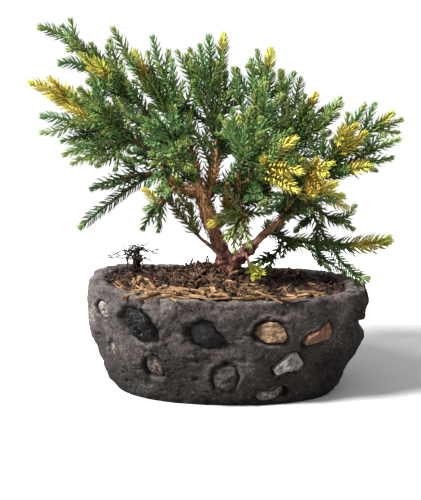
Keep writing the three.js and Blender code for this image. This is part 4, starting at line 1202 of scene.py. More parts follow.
def make_needles(shoots, needled_wood):
    rng = np.random.default_rng(NEEDLE_SEED)
    colour_sprays(shoots, rng)
    soups = {look: Soup() for look in NEEDLE_LOOKS}
    for shoot in shoots:
        tone = shoot.tone
        size = SIZE_BY_ORDER[shoot.order] * (GOLD_SIZE if tone == "gold" else 1)
        if min(np.linalg.norm(shoot.curve.at(1) - place) for place in LONG_NEEDLED) < LONG_REACH:
            size *= LONG_SIZE
        step = BRIGHT_WHORL_STEP if tone in BRIGHT else WHORL_STEP
        shapes, share = shoot_needles(shoot.curve, ORDERS[shoot.order]["needled"], rng, size, step=step)
        tip_tone, chance = TIP_TONES[tone]
        from_tip = (1 - share) * shoot.curve.length
        fresh = from_tip < (rng.uniform(*FRESH_LENGTHS) if rng.random() < chance else -1)
        green = (from_tip > shoot.bright) & (shoot.bright > 0)
        old = ~green & (from_tip > shoot.bright * rng.uniform(*AGED_FROM)) & (shoot.bright > 0)
        plain = ~fresh & ~old & ~green
        for look, chosen in ((tone, plain), (tip_tone, fresh), ("amber", old), ("mid", green)):
            if chosen.any():
                soups[look].add_copies(shapes[chosen], NEEDLE_FACES)
    for curve, radius, start in needled_wood:
        shapes, share = shoot_needles(curve, start, rng, 1, radius, 0)
        near_fork = np.linalg.norm(curve.at(share) - FORK, axis=1) < DRY_REACH
        dry = near_fork & (rng.random(len(share)) < DRY_SHARE)
        # Needles along stems and thin limbs, inside the crown, are dark: partly older needles, partly painted
        # shade
        soups["dark"].add_copies(shapes[~dry], NEEDLE_FACES)
        if dry.any():
            soups["dry"].add_copies(shapes[dry], NEEDLE_FACES)
    for look, soup in soups.items():
        if soup.count:
            slot = "gold_needles" if look in BRIGHT else "needles"
            make_piece(f"needles_{look}", soup, NEEDLE_LOOKS[look], slot, smooth=False)
    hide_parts(*[f"{row['name']}_foliage" for row in FOLIAGE])


# Pot

WALL_ROUNDING = np.linspace(-2.5, 2.5, 7)
ANGLE_STEP = 0.02


def waves(rows, angle):
    return sum(size * np.sin(lobes * angle + phase) for lobes, phase, size in rows)


def plan_point(angle, half_width, half_depth):
    """A point of the pot's rounded outline, with the unevenness of a hand-built wall."""
    across = np.sin(angle)
    deep = -np.cos(angle)
    power = 2 / SQUARENESS
    uneven = 1 + waves(PLAN_WAVES, angle)
    x = half_width * np.sign(across) * np.abs(across) ** power * uneven
    y = half_depth * np.sign(deep) * np.abs(deep) ** power * uneven
    return x, y


def rim_lift(angle, z):
    base = FLOOR + CLEAR
    return (np.maximum(0, z - base) / (RIM - base)) ** 2 * waves(RIM_WAVES, angle)


def wall_shares(z):
    """The shares of the half width and half depth at a height, with the steps of the profile rounded off."""
    near = np.clip(np.asarray(z)[..., None] + WALL_ROUNDING, 0, RIM)
    return [np.interp(near, OUTSIDE[:, 2], shares).mean(axis=-1) for shares in OUTSIDE[:, :2].T]


def from_notch(angle):
    return (angle - NOTCH["angle"] + math.pi) % TURN - math.pi


def wall_relief(angle, z):
    """How far the wall's face stands out of its plain shape, as in the solids."""
    part = rise(z, *LUMPS_FROM)
    full = part * part * (3 - 2 * part)
    lump = sum(size * np.sin(lobes * angle + slant * z + phase) for lobes, slant, phase, size in LUMPS)
    hollow = NOTCH["depth"] * bell((z - NOTCH["height"]) / NOTCH["tall"])
    lip = NOTCH["lip"] * bell((z - NOTCH["lip_height"]) / NOTCH["lip_tall"])
    return full * lump + bell(from_notch(angle) / NOTCH["width"], 4) * (lip - hollow)


def outside_point(angle, height):
    wide, deep = wall_shares(height)
    relief = wall_relief(angle, height)
    return np.array([*plan_point(angle, HALF_WIDTH * wide + relief, HALF_DEPTH * deep + relief), height])


def wall_place(degrees, height):
    """A point of the wall's face, with its directions along, up and out of the wall."""
    angle = math.radians(degrees)
    point = outside_point(angle, height)
    along = unit(outside_point(angle + ANGLE_STEP, height) - point)
    up = unit(outside_point(angle, height + 1) - point)
    out = unit(np.cross(along, up))
    return point, along, np.cross(out, along), out


def stone_rows():
    """Name, slot, look, place, half sizes and outline of every stone, those at the back by a seeded rule."""
    rows = []
    for name, slot, turn, height, wide, high, outline in FRONT_STONES:
        rows.append((name, slot, name, wall_place(turn, height), wide, high, outline))
    random = seeded(BACK_STONES["seed"])
    rng = np.random.default_rng(BACK_OUTLINE["seed"])
    stray = BACK_STONES["stray"]
    corners = BACK_OUTLINE["corners"]
    for i, (slot, look) in enumerate(BACK_KINDS):
        wide, high, _ = [size * mix(BACK_STONES["smallest"], 1, random()) for size in BACK_STONES["half"]]
        part = (i + stray * random()) / (len(BACK_KINDS) - 1 + stray)
        random()
        angle = np.arange(corners) * TURN / corners
        angle = angle + rng.uniform(-BACK_OUTLINE["stray"], BACK_OUTLINE["stray"], corners)
        reach = rng.uniform(*BACK_OUTLINE["reach"], (corners, 1))
        outline = np.stack([np.cos(angle), np.sin(angle)], axis=1) * reach
        place = wall_place(mix(BACK_STONES["start"], BACK_STONES["end"], part), BACK_STONES["heights"][i % 2])
        rows.append((f"stone_back_{i + 1}", slot, look, place, wide, high, outline))
    return rows


OUTLINE_STEPS = np.linspace(0, 1, 24, endpoint=False)[:, None]


def outline_radius(outline, angle):
    """How far a stone's outline reaches at an angle round its middle."""
    corners = np.array(outline, float)
    dense = np.concatenate([mix(a, b, OUTLINE_STEPS) for a, b in zip(corners, np.roll(corners, -1, axis=0))])
    turn = np.arctan2(dense[:, 1], dense[:, 0])
    order = np.argsort(turn)
    return np.interp(angle, turn[order], np.linalg.norm(dense[order], axis=1), period=TURN)


# Roughness of the wall: the size of the lumps, the seed and the height or depth of each noise
GRIT = ((10, 1, 0.32), (4, 3, 0.26), (2.1, 4, 0.2), (1.3, 5, 0.2))
SLABS = (8, 2, 0.3)
SLAB_SQUASH = np.array([1, 1, 1.5])
PITS = ((2.2, 7, 2.6), (5, 8, 3.2))
PIT_FROM = 0.5
CRACKS = dict(size=17, seed=9, width=0.03, depth=3.4)
CRACKED = dict(size=30, seed=10, more=0.1, most=0.4)
CRUMBLY = ((3, 11, 1.1), (7, 12, 0.6))
CRUMBLY_TO = 9
TORN = dict(width=0.55, height=43, tall=9)
TORN_NOISE = ((6, 14, 1.6), (2.8, 15, 0.9))
# Round each stone: a moat, its floor and a lip, with places as shares of its outline, and painted shade in
# the moat
JOINT_RAGS = ((4.5, 16, 0.13), (1.9, 17, 0.07))
JOINT = dict(place=1.02, width=0.16, depth=2.1, floor=2.6, floor_to=0.9, shade=0.2, near=14)
LIP = dict(place=1.38, width=0.2, height=0.7, size=5, seed=13)


def pot_relief(points, angle, height, stones):
    """How far the rough wall stands out of its plain shape, and how much painted shade lies in the moat round
    a stone.
    """
    size, seed, high = SLABS
    relief = rough(points, GRIT) + high * np.abs(noise(points * SLAB_SQUASH, size, seed))
    for size, seed, deep in PITS:
        relief = relief - deep * np.clip(noise(points, size, seed) - PIT_FROM, 0, 1)
    cracked = np.clip(noise(points, CRACKED["size"], CRACKED["seed"]) + CRACKED["more"], 0, CRACKED["most"])
    cracks = bell(noise(points, CRACKS["size"], CRACKS["seed"]) / CRACKS["width"])
    torn = bell(from_notch(angle) / TORN["width"], 4) * bell((height - TORN["height"]) / TORN["tall"])
    relief = relief - CRACKS["depth"] * cracked * cracks + torn * rough(points, TORN_NOISE)
    relief = relief + rise(height, CRUMBLY_TO, 0) * rough(points, CRUMBLY)
    rags = rough(points, JOINT_RAGS)
    lumps = 1 + noise(points, LIP["size"], LIP["seed"])
    moat_shade = 0 * relief
    for *_, (middle, along, up, out), wide, high, outline in stones:
        offset = points - middle
        right = offset @ along / wide
        above = offset @ up / high
        beyond = np.hypot(right, above) / outline_radius(outline, np.arctan2(above, right))
        past = beyond + rags - JOINT["place"]
        here = np.abs(offset @ out) < JOINT["near"]
        moat = JOINT["depth"] * bell(past / JOINT["width"]) + JOINT["floor"] * (beyond < JOINT["floor_to"])
        lip = LIP["height"] * bell((beyond + rags - LIP["place"]) / LIP["width"])
        relief = relief + here * (lip * lumps - moat)
        # Painted shade in the moat: full at the stone's edge and fading out beyond it
        moat_shade = np.maximum(moat_shade, here * bell(np.maximum(0, past) / JOINT["shade"]))
    return relief, moat_shade


# Cement: its stops, its dusty upward faces, which are partly painted light, and pale grains, and its painted
# light and shade as axis, where each begins and ends, and brightness at both ends
POT_STOPS = ((0.0065, 0.0053, 0.0048), (0.02, 0.0165, 0.0152), (0.037, 0.031, 0.0287), (0.1, 0.086, 0.079))
POT_STOPS_BETWEEN = (0.36, 0.66)
POT_NOISE = 0.65
COARSE_CEMENT = (18, 3)
FINE_CEMENT = (1.2, 3)
FINE_CEMENT_SHARE = 0.5
DUST_GRAIN = (6, 4)
PIT_RELIEF = 0.4
POT_DUST_AND_LIGHT = (0.105, 0.091, 0.081, 1)
POT_GRAINS = (0.16, 0.148, 0.136, 1)
POT_COOL = (0.96, 1, 1.07, 1)
# Painted light on the pot's left side, and painted shade on its right side and towards its foot
POT_PAINTED_LIGHT_AND_SHADE = (("X", -78, -50, 1.7, 1), ("X", 45, 80, 1, 0.4), ("Z", 0, 42, 0.26, 1.1))
COOL_SIDE = (-75 * MM, -20 * MM, 1, 0)
DUSTY_SIDE = (-80 * MM, -45 * MM, 0.2, 1)
DUSTY_LIT_TOPS = (0.25, 0.95, 0, 0.6)
DUST_PATCHES = (0.36, 0.6)
PIT_CELLS = (3.4, 0.1, 0.28)
PIT_SHADE = 0.5
PALE_CELLS = (5.2, 0.11, 0.05, 0, 0.4)
JOINT_SHADE = (0, 1, 1, 0.3)
POT_FINISH = dict(roughness=0.92, specular=0.1, strength=0.8, depth=0.6)


def pot_material():
    """Dark cement with pits and pale grains, dusty and painted lighter on top and left, painted shade low and
    right.
    """
    material, tree, place = new_material("pot_cement")

    def grain(size, detail):
        return grain_of(tree, place, (size,) * 3, detail, POT_NOISE)

    def cells(size, *ends):
        found = node(tree, "ShaderNodeTexVoronoi", Vector=place, Scale=1 / (size * MM)).outputs["Distance"]
        return spread_of(tree, found, *ends)

    def shaded(colour, shade, share=1):
        return blend(tree, "MULTIPLY", share, colour, shade)

    coarse = between(tree, FINE_CEMENT_SHARE, grain(*COARSE_CEMENT), grain(*FINE_CEMENT))
    colour = ramp_of(tree, spread_of(tree, coarse, *POT_STOPS_BETWEEN), POT_STOPS)
    axes = node(tree, "ShaderNodeSeparateXYZ", Vector=place).outputs
    # Painted light and shade, by place on the pot
    for axis, low, high, first, last in POT_PAINTED_LIGHT_AND_SHADE:
        colour = shaded(colour, spread_of(tree, axes[axis], low * MM, high * MM, first, last))
    colour = shaded(colour, POT_COOL, spread_of(tree, axes["X"], *COOL_SIDE))
    normal = node(tree, "ShaderNodeNewGeometry").outputs["Normal"]
    facing = node(tree, "ShaderNodeSeparateXYZ", Vector=normal).outputs["Z"]
    # Paler on upward faces in patches, less so at the far left: partly dusty, partly painted light from above
    dust_and_light = shaded(spread_of(tree, facing, *DUSTY_LIT_TOPS), spread_of(tree, grain(*DUST_GRAIN), *DUST_PATCHES))
    dust_and_light = shaded(dust_and_light, spread_of(tree, axes["X"], *DUSTY_SIDE))
    colour = blend(tree, "MIX", dust_and_light, colour, POT_DUST_AND_LIGHT)
    pits = cells(*PIT_CELLS)
    colour = shaded(colour, pits, PIT_SHADE)
    colour = blend(tree, "MIX", cells(*PALE_CELLS), colour, POT_GRAINS)
    moat_shade = node(tree, "ShaderNodeAttribute", {"attribute_name": "moat_shade"}).outputs["Fac"]
    # Painted shade in the moat round each stone
    colour = shaded(colour, spread_of(tree, moat_shade, *JOINT_SHADE))
    dress_shader(tree, colour, height=between(tree, PIT_RELIEF, coarse, pits), **POT_FINISH)
    return material


# Rings of the pot's skin: points in each, shares of the underside, the wall up to the shoulder, the bend of
# the rim and the inside down to below the soil, which has less relief
AROUND = 660
UNDER_SHARES = np.array([0.0, 0.3, 0.6, 0.8, 0.92, 0.97])[:, None]
SHOULDER = RIM - 4
WALL_RINGS = 100
RIM_RINGS = 30
RIM_POWER = 0.6
INSIDE_TO = 46
INSIDE_RINGS = 12
INSIDE_RELIEF = 0.3
CALM_BELOW = 2.5


def inside_wall(angle):
    """The thickness of the wall, which is less in front."""
    return mix(WALL, FRONT_WALL, np.maximum(0, np.cos(angle)) ** 2)


def pot_ring(shares, z, inset, angle):
    wide, deep = shares
    z = z + 0 * angle
    relief = wall_relief(angle, z) * (1 - inset / WALL)
    x, y = plan_point(angle, (HALF_WIDTH - inset) * wide + relief, (HALF_DEPTH - inset) * deep + relief)
    return np.stack([x, y, z + rim_lift(angle, z)], axis=-1)


def make_pot(stones):
    """The pot's skin in rings: underside, wall, rounded rim and the inside down to below the soil."""
    angle = np.linspace(0, TURN, AROUND, endpoint=False)[None]
    wall = inside_wall(angle)
    heights = np.linspace(0, SHOULDER, WALL_RINGS)[:, None]
    bend = np.linspace(0, math.pi, RIM_RINGS)[1:, None]
    inner = np.linspace(SHOULDER, INSIDE_TO, INSIDE_RINGS)[1:, None]
    top = SHOULDER + (RIM - SHOULDER) * np.maximum(0, np.sin(bend)) ** RIM_POWER
    points = np.concatenate([
        pot_ring((UNDER_SHARES * OUTSIDE[0, 0], UNDER_SHARES * OUTSIDE[0, 1]), 0 * UNDER_SHARES, 0, angle),
        pot_ring(wall_shares(heights), heights, 0, angle),
        pot_ring(wall_shares(np.minimum(top, WIDEST)), top, wall / 2 * (1 - np.cos(bend)), angle),
        pot_ring(wall_shares(inner), inner, wall, angle),
    ])
    across = np.roll(points, -1, axis=1) - np.roll(points, 1, axis=1)
    normals = unit(np.cross(across, np.gradient(points, axis=0)) + 1e-9)
    relief, moat_shade = pot_relief(points, angle, points[..., 2], stones)
    relief[-len(inner):] *= INSIDE_RELIEF
    calm = np.clip(points[..., 2] / CALM_BELOW, 0, 1)
    points = points + normals * (relief * calm)[..., None]
    points[..., 2] = np.maximum(points[..., 2], 0)
    points[:len(UNDER_SHARES), :, 2] = 0
    piece = make_piece("pot_wall", ring_soup(points, REVERSED), pot_material(), "pot")
    piece.data.attributes.new("moat_shade", "FLOAT", "POINT").data.foreach_set("value", moat_shade.ravel())
    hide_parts("pot")


# Stones: three stops, roughness of the surface in millimetres, size of its grain and range of roughness

STONE_LOOKS = {
    "stone_slate_dark": (
        ((0.0014, 0.0012, 0.0012), (0.0036, 0.0033, 0.0034), (0.015, 0.013, 0.0125)), 0.5, 3.5, (0.45, 0.8)),
    "stone_lump_black": (
        ((0.0006, 0.0005, 0.0005), (0.002, 0.0018, 0.0018), (0.022, 0.0205, 0.021)), 2.3, 2.6, (0.3, 0.7)),
    "stone_pitted_brown": (
        ((0.006, 0.004, 0.003), (0.036, 0.027, 0.022), (0.2, 0.16, 0.14)), 1.2, 2.2, (0.7, 1)),
    "stone_round_dark": (
        ((0.006, 0.0045, 0.0038), (0.017, 0.014, 0.0125), (0.05, 0.043, 0.039)), 1.0, 2.4, (0.7, 1)),
    "stone_tan": (
        ((0.024, 0.013, 0.006), (0.1, 0.062, 0.034), (0.26, 0.185, 0.125)), 0.8, (3.5, 3.5, 1.5), (0.7, 1)),
    "stone_brick_red": (
        ((0.012, 0.006, 0.004), (0.088, 0.043, 0.026), (0.16, 0.088, 0.055)), 0.7, 2.4, (0.7, 1)),
    "stone_white_grey": (((0.014, 0.012, 0.01), (0.1, 0.094, 0.085), (0.3, 0.28, 0.26)), 0.8, 3, (0.5, 0.9)),
    "stone_pale_left": (((0.022, 0.017, 0.013), (0.12, 0.105, 0.094), (0.4, 0.36, 0.33)), 0.9, 2.2, (0.7, 1)),
    "stone_brown_left": (
        ((0.012, 0.009, 0.007), (0.06, 0.047, 0.038), (0.2, 0.16, 0.13)), 1.0, 2.2, (0.7, 1)),
    "stone_pale_low": (((0.01, 0.008, 0.007), (0.05, 0.044, 0.04), (0.24, 0.22, 0.2)), 1.1, 2.2, (0.7, 1)),
}
STONE_SURFACE = dict(fine=0.6, depth=0.3, weight=0.45)
FINEST_STONE = 1.2
DULL_STONE = dict(name="stone_lump_black", specular=0.06)
STONE_ROUND = 72
STONE_RINGS = 26
STONE_SEED = 300
# How far a stone stands out, as a share of its smaller half size, its facets and how it sits in the wall
PROUD = 0.42
SHOULDER_POWER = 5
FACETS = 6
FACET_SLOPES = (0.15, 0.55)
FACET_HEIGHTS = (0.75, 1.0)
STONE_LOWEST = -1.8
STONE_SINK = 0.9
STONE_BACK = 3
# Seed, share of the grain's size and height of the two noises on a stone, which fade out at its edge
STONE_NOISE = ((40, 1, 0.7), (60, 2.7, 0.4))
STONE_FADE = 6


def make_stones(rows):
    angle = np.arange(STONE_ROUND) * TURN / STONE_ROUND
    share = np.linspace(0, 1, STONE_RINGS)[:, None]
    for index, (name, slot, look, (middle, along, up, out), wide, high, outline) in enumerate(rows):
        stops, coarse, grain, roughness = STONE_LOOKS[look]
        rng = np.random.default_rng(STONE_SEED + index)
        reach = outline_radius(outline, angle)[None] * share
        right = reach * np.cos(angle) * wide
        above = reach * np.sin(angle) * high
        proud = PROUD * min(wide, high)
        height = proud * (1 - share ** SHOULDER_POWER)
        for _ in range(FACETS):
            turn = rng.uniform(0, ANY_ANGLE)
            slope = rng.uniform(*FACET_SLOPES)
            level = proud * rng.uniform(*FACET_HEIGHTS)
            height = np.minimum(height, level - slope * (right * math.cos(turn) + above * math.sin(turn)))
        height = np.maximum(height, STONE_LOWEST) - STONE_SINK
        points = middle + along * right[..., None] + up * above[..., None] + out * height[..., None]
        size = np.array(grain) * np.ones(3)
        bumps = sum(noise(points, size / finer, seed + index) * lift for seed, finer, lift in STONE_NOISE)
        points = points + out * (bumps * coarse * (1 - share ** STONE_FADE))[..., None]
        points = np.concatenate([points, points[-1:] - out * STONE_BACK])
        specular = DULL_STONE["specular"] if name == DULL_STONE["name"] else PLAIN_SPECULAR
        lumps = max(FINEST_STONE, size.mean())
        material = surface(name, stops, lumps, roughness=roughness, specular=specular, **STONE_SURFACE)
        piece = make_piece(f"{name}_face", ring_soup(points), material, slot)
        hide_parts(name)


# Mulch: its level, how much higher it lies in front and at the left, and the mound at the trunk

SOIL_LEVEL = 54.4
SOIL_FRONT = (1.4, 55)
SOIL_LEFT = 2.2
MOUND = dict(x=-9, y=9, height=8.4, breadth=16)
BED_AROUND = 220
BED_RINGS = 70
BED_REACH = 1.04
BED_POWER = 0.8
BED_NOISE = ((7, 31, 1.0), (2.6, 32, 0.7))
BED_SINK = 0.6
MULCH_SEED = 11
TRIES = 4000
TRUNK_CLEAR = 7


def soil_height(x, y):
    """The top of the mulch: level with the front of the rim and mounded at the trunk."""
    high, reach = SOIL_FRONT
    front = np.clip(-y / reach, 0, 1)
    left = np.clip(-x / HALF_WIDTH, 0, 1)
    apart = (x - MOUND["x"]) ** 2 + (y - MOUND["y"]) ** 2
    mound = MOUND["height"] * np.exp(-apart / (2 * MOUND["breadth"] ** 2))
    return SOIL_LEVEL + high * front + SOIL_LEFT * left ** 2 + mound


def inner_share(x, y):
    """How far out of the middle of the pot a place is, as a share of the way to the inside of the rim."""
    front = np.clip(-y / HALF_DEPTH, 0, 1) ** 2
    wide = np.abs(x) / (HALF_WIDTH - WALL)
    deep = np.abs(y) / (HALF_DEPTH - mix(WALL, FRONT_WALL, front))
    return (wide ** SQUARENESS + deep ** SQUARENESS) ** (1 / SQUARENESS)


# Chips: the random roll, bend and shift of each, the place of its middle section, the least widths of its
# three sections, and how high chips lie
CHIP_ROLL = 0.35
CHIP_BEND = 0.04
CHIP_SHIFT = 0.1
CHIP_MIDDLES = (-0.15, 0.2)
CHIP_WIDTHS = (0.25, 0.9, 0.15)
CHIP_LIFTS = (0, 1.6)


def chip_shapes(places, rng, lengths, widths, thicknesses, tilt, turn):
    """Splintered chips, each three four-cornered sections long."""
    count = len(places)
    heading = rng.normal(0, 1, count) * turn
    pitch = rng.normal(0, 1, count) * tilt
    flat = np.cos(pitch)
    along = np.stack([np.cos(heading) * flat, np.sin(heading) * flat, np.sin(pitch)], axis=1)
    level = unit(np.cross(UP, along))
    upright = np.cross(along, level)
    roll = rng.normal(0, CHIP_ROLL, (count, 1))
    across = level * np.cos(roll) + upright * np.sin(roll)
    normal = upright * np.cos(roll) - level * np.sin(roll)
    length = rng.uniform(*lengths, (count, 1))
    width = rng.uniform(*widths, (count, 1))
    deep = normal * (rng.uniform(*thicknesses, (count, 1)) / 2)
    middle = rng.uniform(*CHIP_MIDDLES, (count, 1))
    corners = []
    for place, least in zip((-0.5, middle, 0.5), CHIP_WIDTHS):
        wide = across * (rng.uniform(least, 1, (count, 1)) * width / 2)
        centre = places + along * (place * length) + normal * (rng.normal(0, CHIP_BEND, (count, 1)) * length)
        centre += across * (rng.normal(0, CHIP_SHIFT, (count, 1)) * width)
        corners += [centre + wide * right + deep * high for right, high in SECTION]
    return np.stack(corners, axis=1)


CRUMB_POINTS = np.array([(1, 0, 0), (0, 1, 0), (-1, 0, 0), (0, -1, 0), (0, 0, 1), (0, 0, -1)], float)
CRUMB_FACES = ((0, 1, 4), (1, 2, 4), (2, 3, 4), (3, 0, 4), (1, 0, 5), (2, 1, 5), (3, 2, 5), (0, 3, 5))
CRUMB_STRETCH = (0.5, 1.2)
CRUMB_STRAY = 0.16
CRUMB_LIFTS = (-0.3, 1.1)
CRUMB_EDGE = 1.02


def crumb_shapes(places, rng, sizes):
    count = len(places)
    size = rng.uniform(*sizes, (count, 1, 1)) * rng.uniform(*CRUMB_STRETCH, (count, 1, 3))
    stray = rng.normal(0, CRUMB_STRAY, (count, len(CRUMB_POINTS), 3))
    return places[:, None] + CRUMB_POINTS * size + stray * size


def soil_places(rng, count, edge, liking, lifts, lift=0):
    """Places on the mulch, taken more often where liking(x, y) is larger, and lifted above it at random."""
    found = []
    while len(found) < count:
        x = rng.uniform(-HALF_WIDTH, HALF_WIDTH, TRIES)
        y = rng.uniform(-HALF_DEPTH, HALF_DEPTH, TRIES)
        near_trunk = np.hypot(x - TRUNK_FOOT[0], y - TRUNK_FOOT[1]) < TRUNK_CLEAR
        good = (inner_share(x, y) < edge) & ~near_trunk & (rng.random(TRIES) < liking(x, y))
        found += np.stack([x, y, soil_height(x, y)], axis=1)[good].tolist()
    places = np.array(found[:count])
    places[:, 2] += rng.uniform(*lifts, count) + lift
    return places


# Where bits are likely: the middle and breadth of a band along the front, and for its sides the place where
# it ends, the length over which it thins out and the least share
BAND = (-53, 9)
# The band's pale bits thin out towards the right, as painted shade under the foliage
BAND_RIGHT_SHADE = (30, -45, 0.1)
BAND_LEFT = (-62, 20, 0.03)
HALF = (-36, 26)
# The front half's bits thin out towards the right, as painted shade under the foliage
HALF_RIGHT_SHADE = (60, -40, 0.25)
HALF_LEAST = 0.1
EVEN = 0.6
FOOT_FRONT = 6


def band(y, middle, breadth):
    return bell((y - middle) / breadth)


def thinned(x, end, over, least):
    return np.clip((x - end) / over, least, 1)


def front_band(x, y):
    return band(y, *BAND) * thinned(x, *BAND_RIGHT_SHADE) * thinned(x, *BAND_LEFT)


def front_half(x, y):
    return HALF_LEAST + (1 - HALF_LEAST) * band(y, *HALF) * thinned(x, *HALF_RIGHT_SHADE)


def everywhere(x, y):
    return EVEN + 0 * x


def round_foot(x, y):
    apart = (x - MOUND["x"]) ** 2 + (y - MOUND["y"] + FOOT_FRONT) ** 2
    return np.exp(-apart / (2 * MOUND["breadth"] ** 2))


# Chips: name, look, count, how far out they lie, where they are likely, ranges of length, width and
# thickness, tilt, turn and lift. Crumbs: name, count, where they are likely and range of sizes
CHIPS = (
    ("chips_straw", "chips_straw", 110, 1.09, front_band, (8, 23), (1.1, 2.9), (0.5, 1), 0.17, 0.6, 1.7),
    ("chips_loose", "chips_straw", 55, 1.02, front_half, (5, 13), (1, 2.6), (0.4, 0.9), 0.35, 2, 1.4),
    ("chips_ochre", "chips_ochre", 210, 1.04, front_half, (5, 15), (1.2, 3.4), (0.4, 0.9), 0.3, 2, 1),
    ("chips_mound", "chips_ochre", 130, 1, round_foot, (5, 13), (1.2, 3.6), (0.5, 1), 0.6, 2, 1.2),
    ("chips_bark", "chips_bark", 1150, 1.02, everywhere, (3, 11), (1.6, 4.8), (0.5, 1.3), 0.42, 2, 0.7),
    ("chips_litter", "chips_litter", 260, 1, round_foot, (5, 14), (0.45, 1), (0.3, 0.5), 0.5, 2, 1.4),
)
CRUMBS = (("crumbs_dark", 2600, everywhere, (0.5, 1.7)), ("crumbs_pale", 200, front_half, (0.5, 1.3)))


def make_bits(name, look, shapes, faces):
    soup = Soup()
    soup.add_copies(shapes, faces)
    make_piece(name, soup, LOOKS[look], "soil", smooth=False)


def make_mulch():
    rng = np.random.default_rng(MULCH_SEED)
    angle = np.linspace(0, TURN, BED_AROUND, endpoint=False)[None]
    share = np.linspace(0, BED_REACH, BED_RINGS)[:, None] ** BED_POWER
    wall = inside_wall(angle)
    x, y = plan_point(angle, (HALF_WIDTH - wall) * share, (HALF_DEPTH - wall) * share)
    points = np.stack([x, y, soil_height(x, y)], axis=-1)
    points[..., 2] += rough(points, BED_NOISE) - BED_SINK
    piece = make_piece("soil_bed", ring_soup(points), LOOKS["soil_dark"], "soil")
    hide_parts("soil")
    for name, look, count, edge, liking, lengths, widths, thicknesses, tilt, turn, lift in CHIPS:
        places = soil_places(rng, count, edge, liking, CHIP_LIFTS, lift)
        make_bits(name, look, chip_shapes(places, rng, lengths, widths, thicknesses, tilt, turn), CHIP_FACES)
    for name, count, liking, sizes in CRUMBS:
        places = soil_places(rng, count, CRUMB_EDGE, liking, CRUMB_LIFTS)
        make_bits(name, name, crumb_shapes(places, rng, sizes), CRUMB_FACES)


# Dry rootlets: long wires, forks on them and a clump of short ones at the foot

ROOTS_FOOT = np.array([-55, 25, 55.0])
ROOTS_LOWEST = 54
ROOTS_SEED = 77
WIRE = dict(count=22, steps=13, stray=1.9, reach=(6, 25), rise=(15, 21), radii=(0.6, 0.24), sizes=(0.7, 1.2))
WIRE_OUT = (0.28, 0.72, 1.15)
WIRE_UP = 0.55
WIRE_SAG = 0.12
WIRE_DROOP = 0.1
WIRE_SHIFT = 4
WIRE_FLAT = 0.6
WIRE_CROOKED = (0.55, 0.35)
FORKS = dict(count=3, first=4, steps=6, shape=(1, 0.6, 0.5), lengths=(3, 8), crooked=0.5, radii=(0.34, 0.2))
CLUMP = dict(count=46, steps=6, stray=2.6, spread=3.4, heights=(2, 9), crooked=0.7, radii=(0.5, 0.25))
ROOT_SINK = -1
CLUMP_SINK = -0.5


def make_dry_roots():
    """A tuft of crooked, forking rootlets: a dense foot, and wires that rise and then spread almost level."""
    rng = np.random.default_rng(ROOTS_SEED)
    soup = Soup()

    def crooked(size, steps):
        return np.cumsum(rng.normal(0, size, (steps - 1, 3)), axis=0)

    steps = WIRE["steps"]
    share = np.linspace(0, 1, steps)[:, None]
    begin, over, power = WIRE_OUT
    outward = np.clip((share - begin) / over, 0, 1) ** power
    upward = np.sin(np.clip(share / WIRE_UP, 0, 1) * math.pi / 2) - WIRE_SAG * outward
    for _ in range(WIRE["count"]):
        root = ROOTS_FOOT + (*rng.normal(0, WIRE["stray"], 2), ROOT_SINK)
        heading = rng.uniform(0, TURN)
        reach = rng.uniform(*WIRE["reach"])
        high = rng.uniform(*WIRE["rise"]) - WIRE_DROOP * reach
        goal = np.array([reach * math.cos(heading) - WIRE_SHIFT, WIRE_FLAT * reach * math.sin(heading), high])
        line = root + goal * np.concatenate([outward, outward, upward], axis=1)
        line[1:] += crooked(WIRE_CROOKED[0], steps) + rng.normal(0, WIRE_CROOKED[1], (steps - 1, 3))
        line[:, 2] = np.maximum(line[:, 2], ROOTS_LOWEST)
        add_tube(soup, line, mix(*WIRE["radii"], share) * rng.uniform(*WIRE["sizes"]))
        part = np.linspace(0, 1, FORKS["steps"])[:, None]
        for _ in range(FORKS["count"]):
            start = rng.integers(FORKS["first"], steps - 1)
            fork = unit(rng.normal(0, 1, 3) * FORKS["shape"]) * rng.uniform(*FORKS["lengths"])
            twig = line[start] + fork * part
            twig[1:] += crooked(FORKS["crooked"], FORKS["steps"])
            add_tube(soup, twig, mix(*FORKS["radii"], part))
    part = np.linspace(0, 1, CLUMP["steps"])[:, None]
    for _ in range(CLUMP["count"]):
        goal = np.array([*rng.normal(0, CLUMP["spread"], 2), rng.uniform(*CLUMP["heights"])])
        line = ROOTS_FOOT + (*rng.normal(0, CLUMP["stray"], 2), CLUMP_SINK) + goal * part
        line[1:] += crooked(CLUMP["crooked"], CLUMP["steps"])
        line[:, 2] = np.maximum(line[:, 2], ROOTS_LOWEST)
        add_tube(soup, line, mix(*CLUMP["radii"], part))
    piece = make_piece("dry_rootlets", soup, LOOKS["dry_roots"], "dry_roots")
    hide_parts("dry_roots")


# Stage


def stand(made, right, up, back, place):
    """Sets a camera or a light by its three axes and its place."""
    columns = np.stack([right, up, back, place], axis=1)
    made.matrix_world = Matrix([*columns.tolist(), [0, 0, 0, 1]])


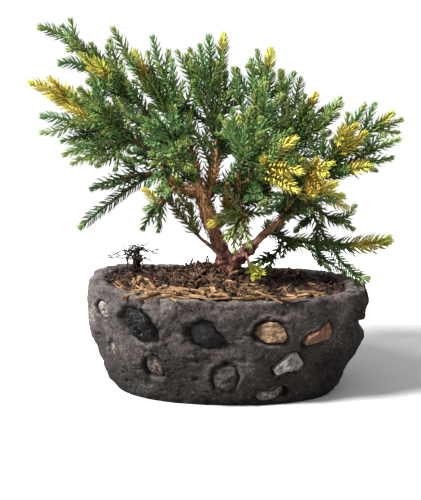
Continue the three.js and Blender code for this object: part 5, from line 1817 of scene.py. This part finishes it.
def make_camera():
    forward = np.array([0, math.cos(CAMERA_PITCH), -math.sin(CAMERA_PITCH)])
    level = np.array([1.0, 0, 0])
    above = np.array([0, math.sin(CAMERA_PITCH), math.cos(CAMERA_PITCH)])
    right = level * math.cos(CAMERA_ROLL) + above * math.sin(CAMERA_ROLL)
    up = above * math.cos(CAMERA_ROLL) - level * math.sin(CAMERA_ROLL)
    data = bpy.data.cameras.new("camera")
    data.sensor_width = SENSOR
    data.lens = FOCAL_PIXELS * SENSOR / IMAGE_HEIGHT
    camera = placed("camera", data)
    stand(camera, right, up, -forward, CAMERA_PLACE * MM)
    bpy.context.scene.camera = camera


def make_light():
    data = bpy.data.lights.new("key", "AREA")
    data.shape = "DISK"
    data.size = LIGHT["size"]
    data.energy = LIGHT["power"]
    data.color = LIGHT["colour"]
    place = np.array(LIGHT["place"], float)
    back = unit(place - LIGHT["aim"])
    right = unit(np.cross(UP, back))
    stand(placed("key", data), right, np.cross(back, right), back, place)


def make_floor():
    """A round pale floor, painted lighter away from the pot to make up for the lamp's falloff."""
    around = np.arange(FLOOR_AROUND) * TURN / FLOOR_AROUND
    rings = [np.stack([r * np.cos(around), r * np.sin(around), 0 * around], axis=1) for r in FLOOR_RADII]
    faces = ring_quads(2, FLOOR_AROUND).tolist()
    mesh = bpy.data.meshes.new("floor")
    mesh.from_pydata(np.concatenate(rings), [], [*faces, list(range(FLOOR_AROUND))])
    material = surface("floor", **FLOOR_LOOK)
    tree = material.node_tree
    place = node(tree, "ShaderNodeTexCoord").outputs["Object"]
    out = node(tree, "ShaderNodeVectorMath", {"operation": "LENGTH"}, Vector=place).outputs["Value"]
    # Painted light: the floor's grey rises with distance from the pot
    feed(tree, tree.nodes["Principled BSDF"], {"Base Color": spread_of(tree, out, *FLOOR_PAINTED_LIGHT)})
    mesh.materials.append(material)
    placed("floor", mesh)


def make_world():
    world = bpy.data.worlds.new("studio")
    world.use_nodes = True
    feed(world.node_tree, world.node_tree.nodes["Background"], {"Color": (1, 1, 1, 1), "Strength": 1.0})
    bpy.context.scene.world = world
    bpy.context.scene.view_settings.view_transform = "Standard"


make_camera()
make_floor()
make_world()
make_light()
lines = limb_lines()
stems, shoots = grow_tree(lines)
make_bark(lines, stems)
make_shreds(lines)
thin_limbs = [(lines[name][0], end, LEAFY_FROM) for name, *_, root, end in LIMBS
              if root <= THICKEST_NEEDLED and BARE_LIMBS.get(name) != 1]
leafy_stems = [(*stem, 0) for row, stem in zip(FOLIAGE, stems) if row["name"] not in BARE_STEMMED]
make_needles(shoots, leafy_stems + thin_limbs)
make_twigs(shoots)
stones = stone_rows()
make_pot(stones)
make_stones(stones)
make_mulch()
make_dry_roots()
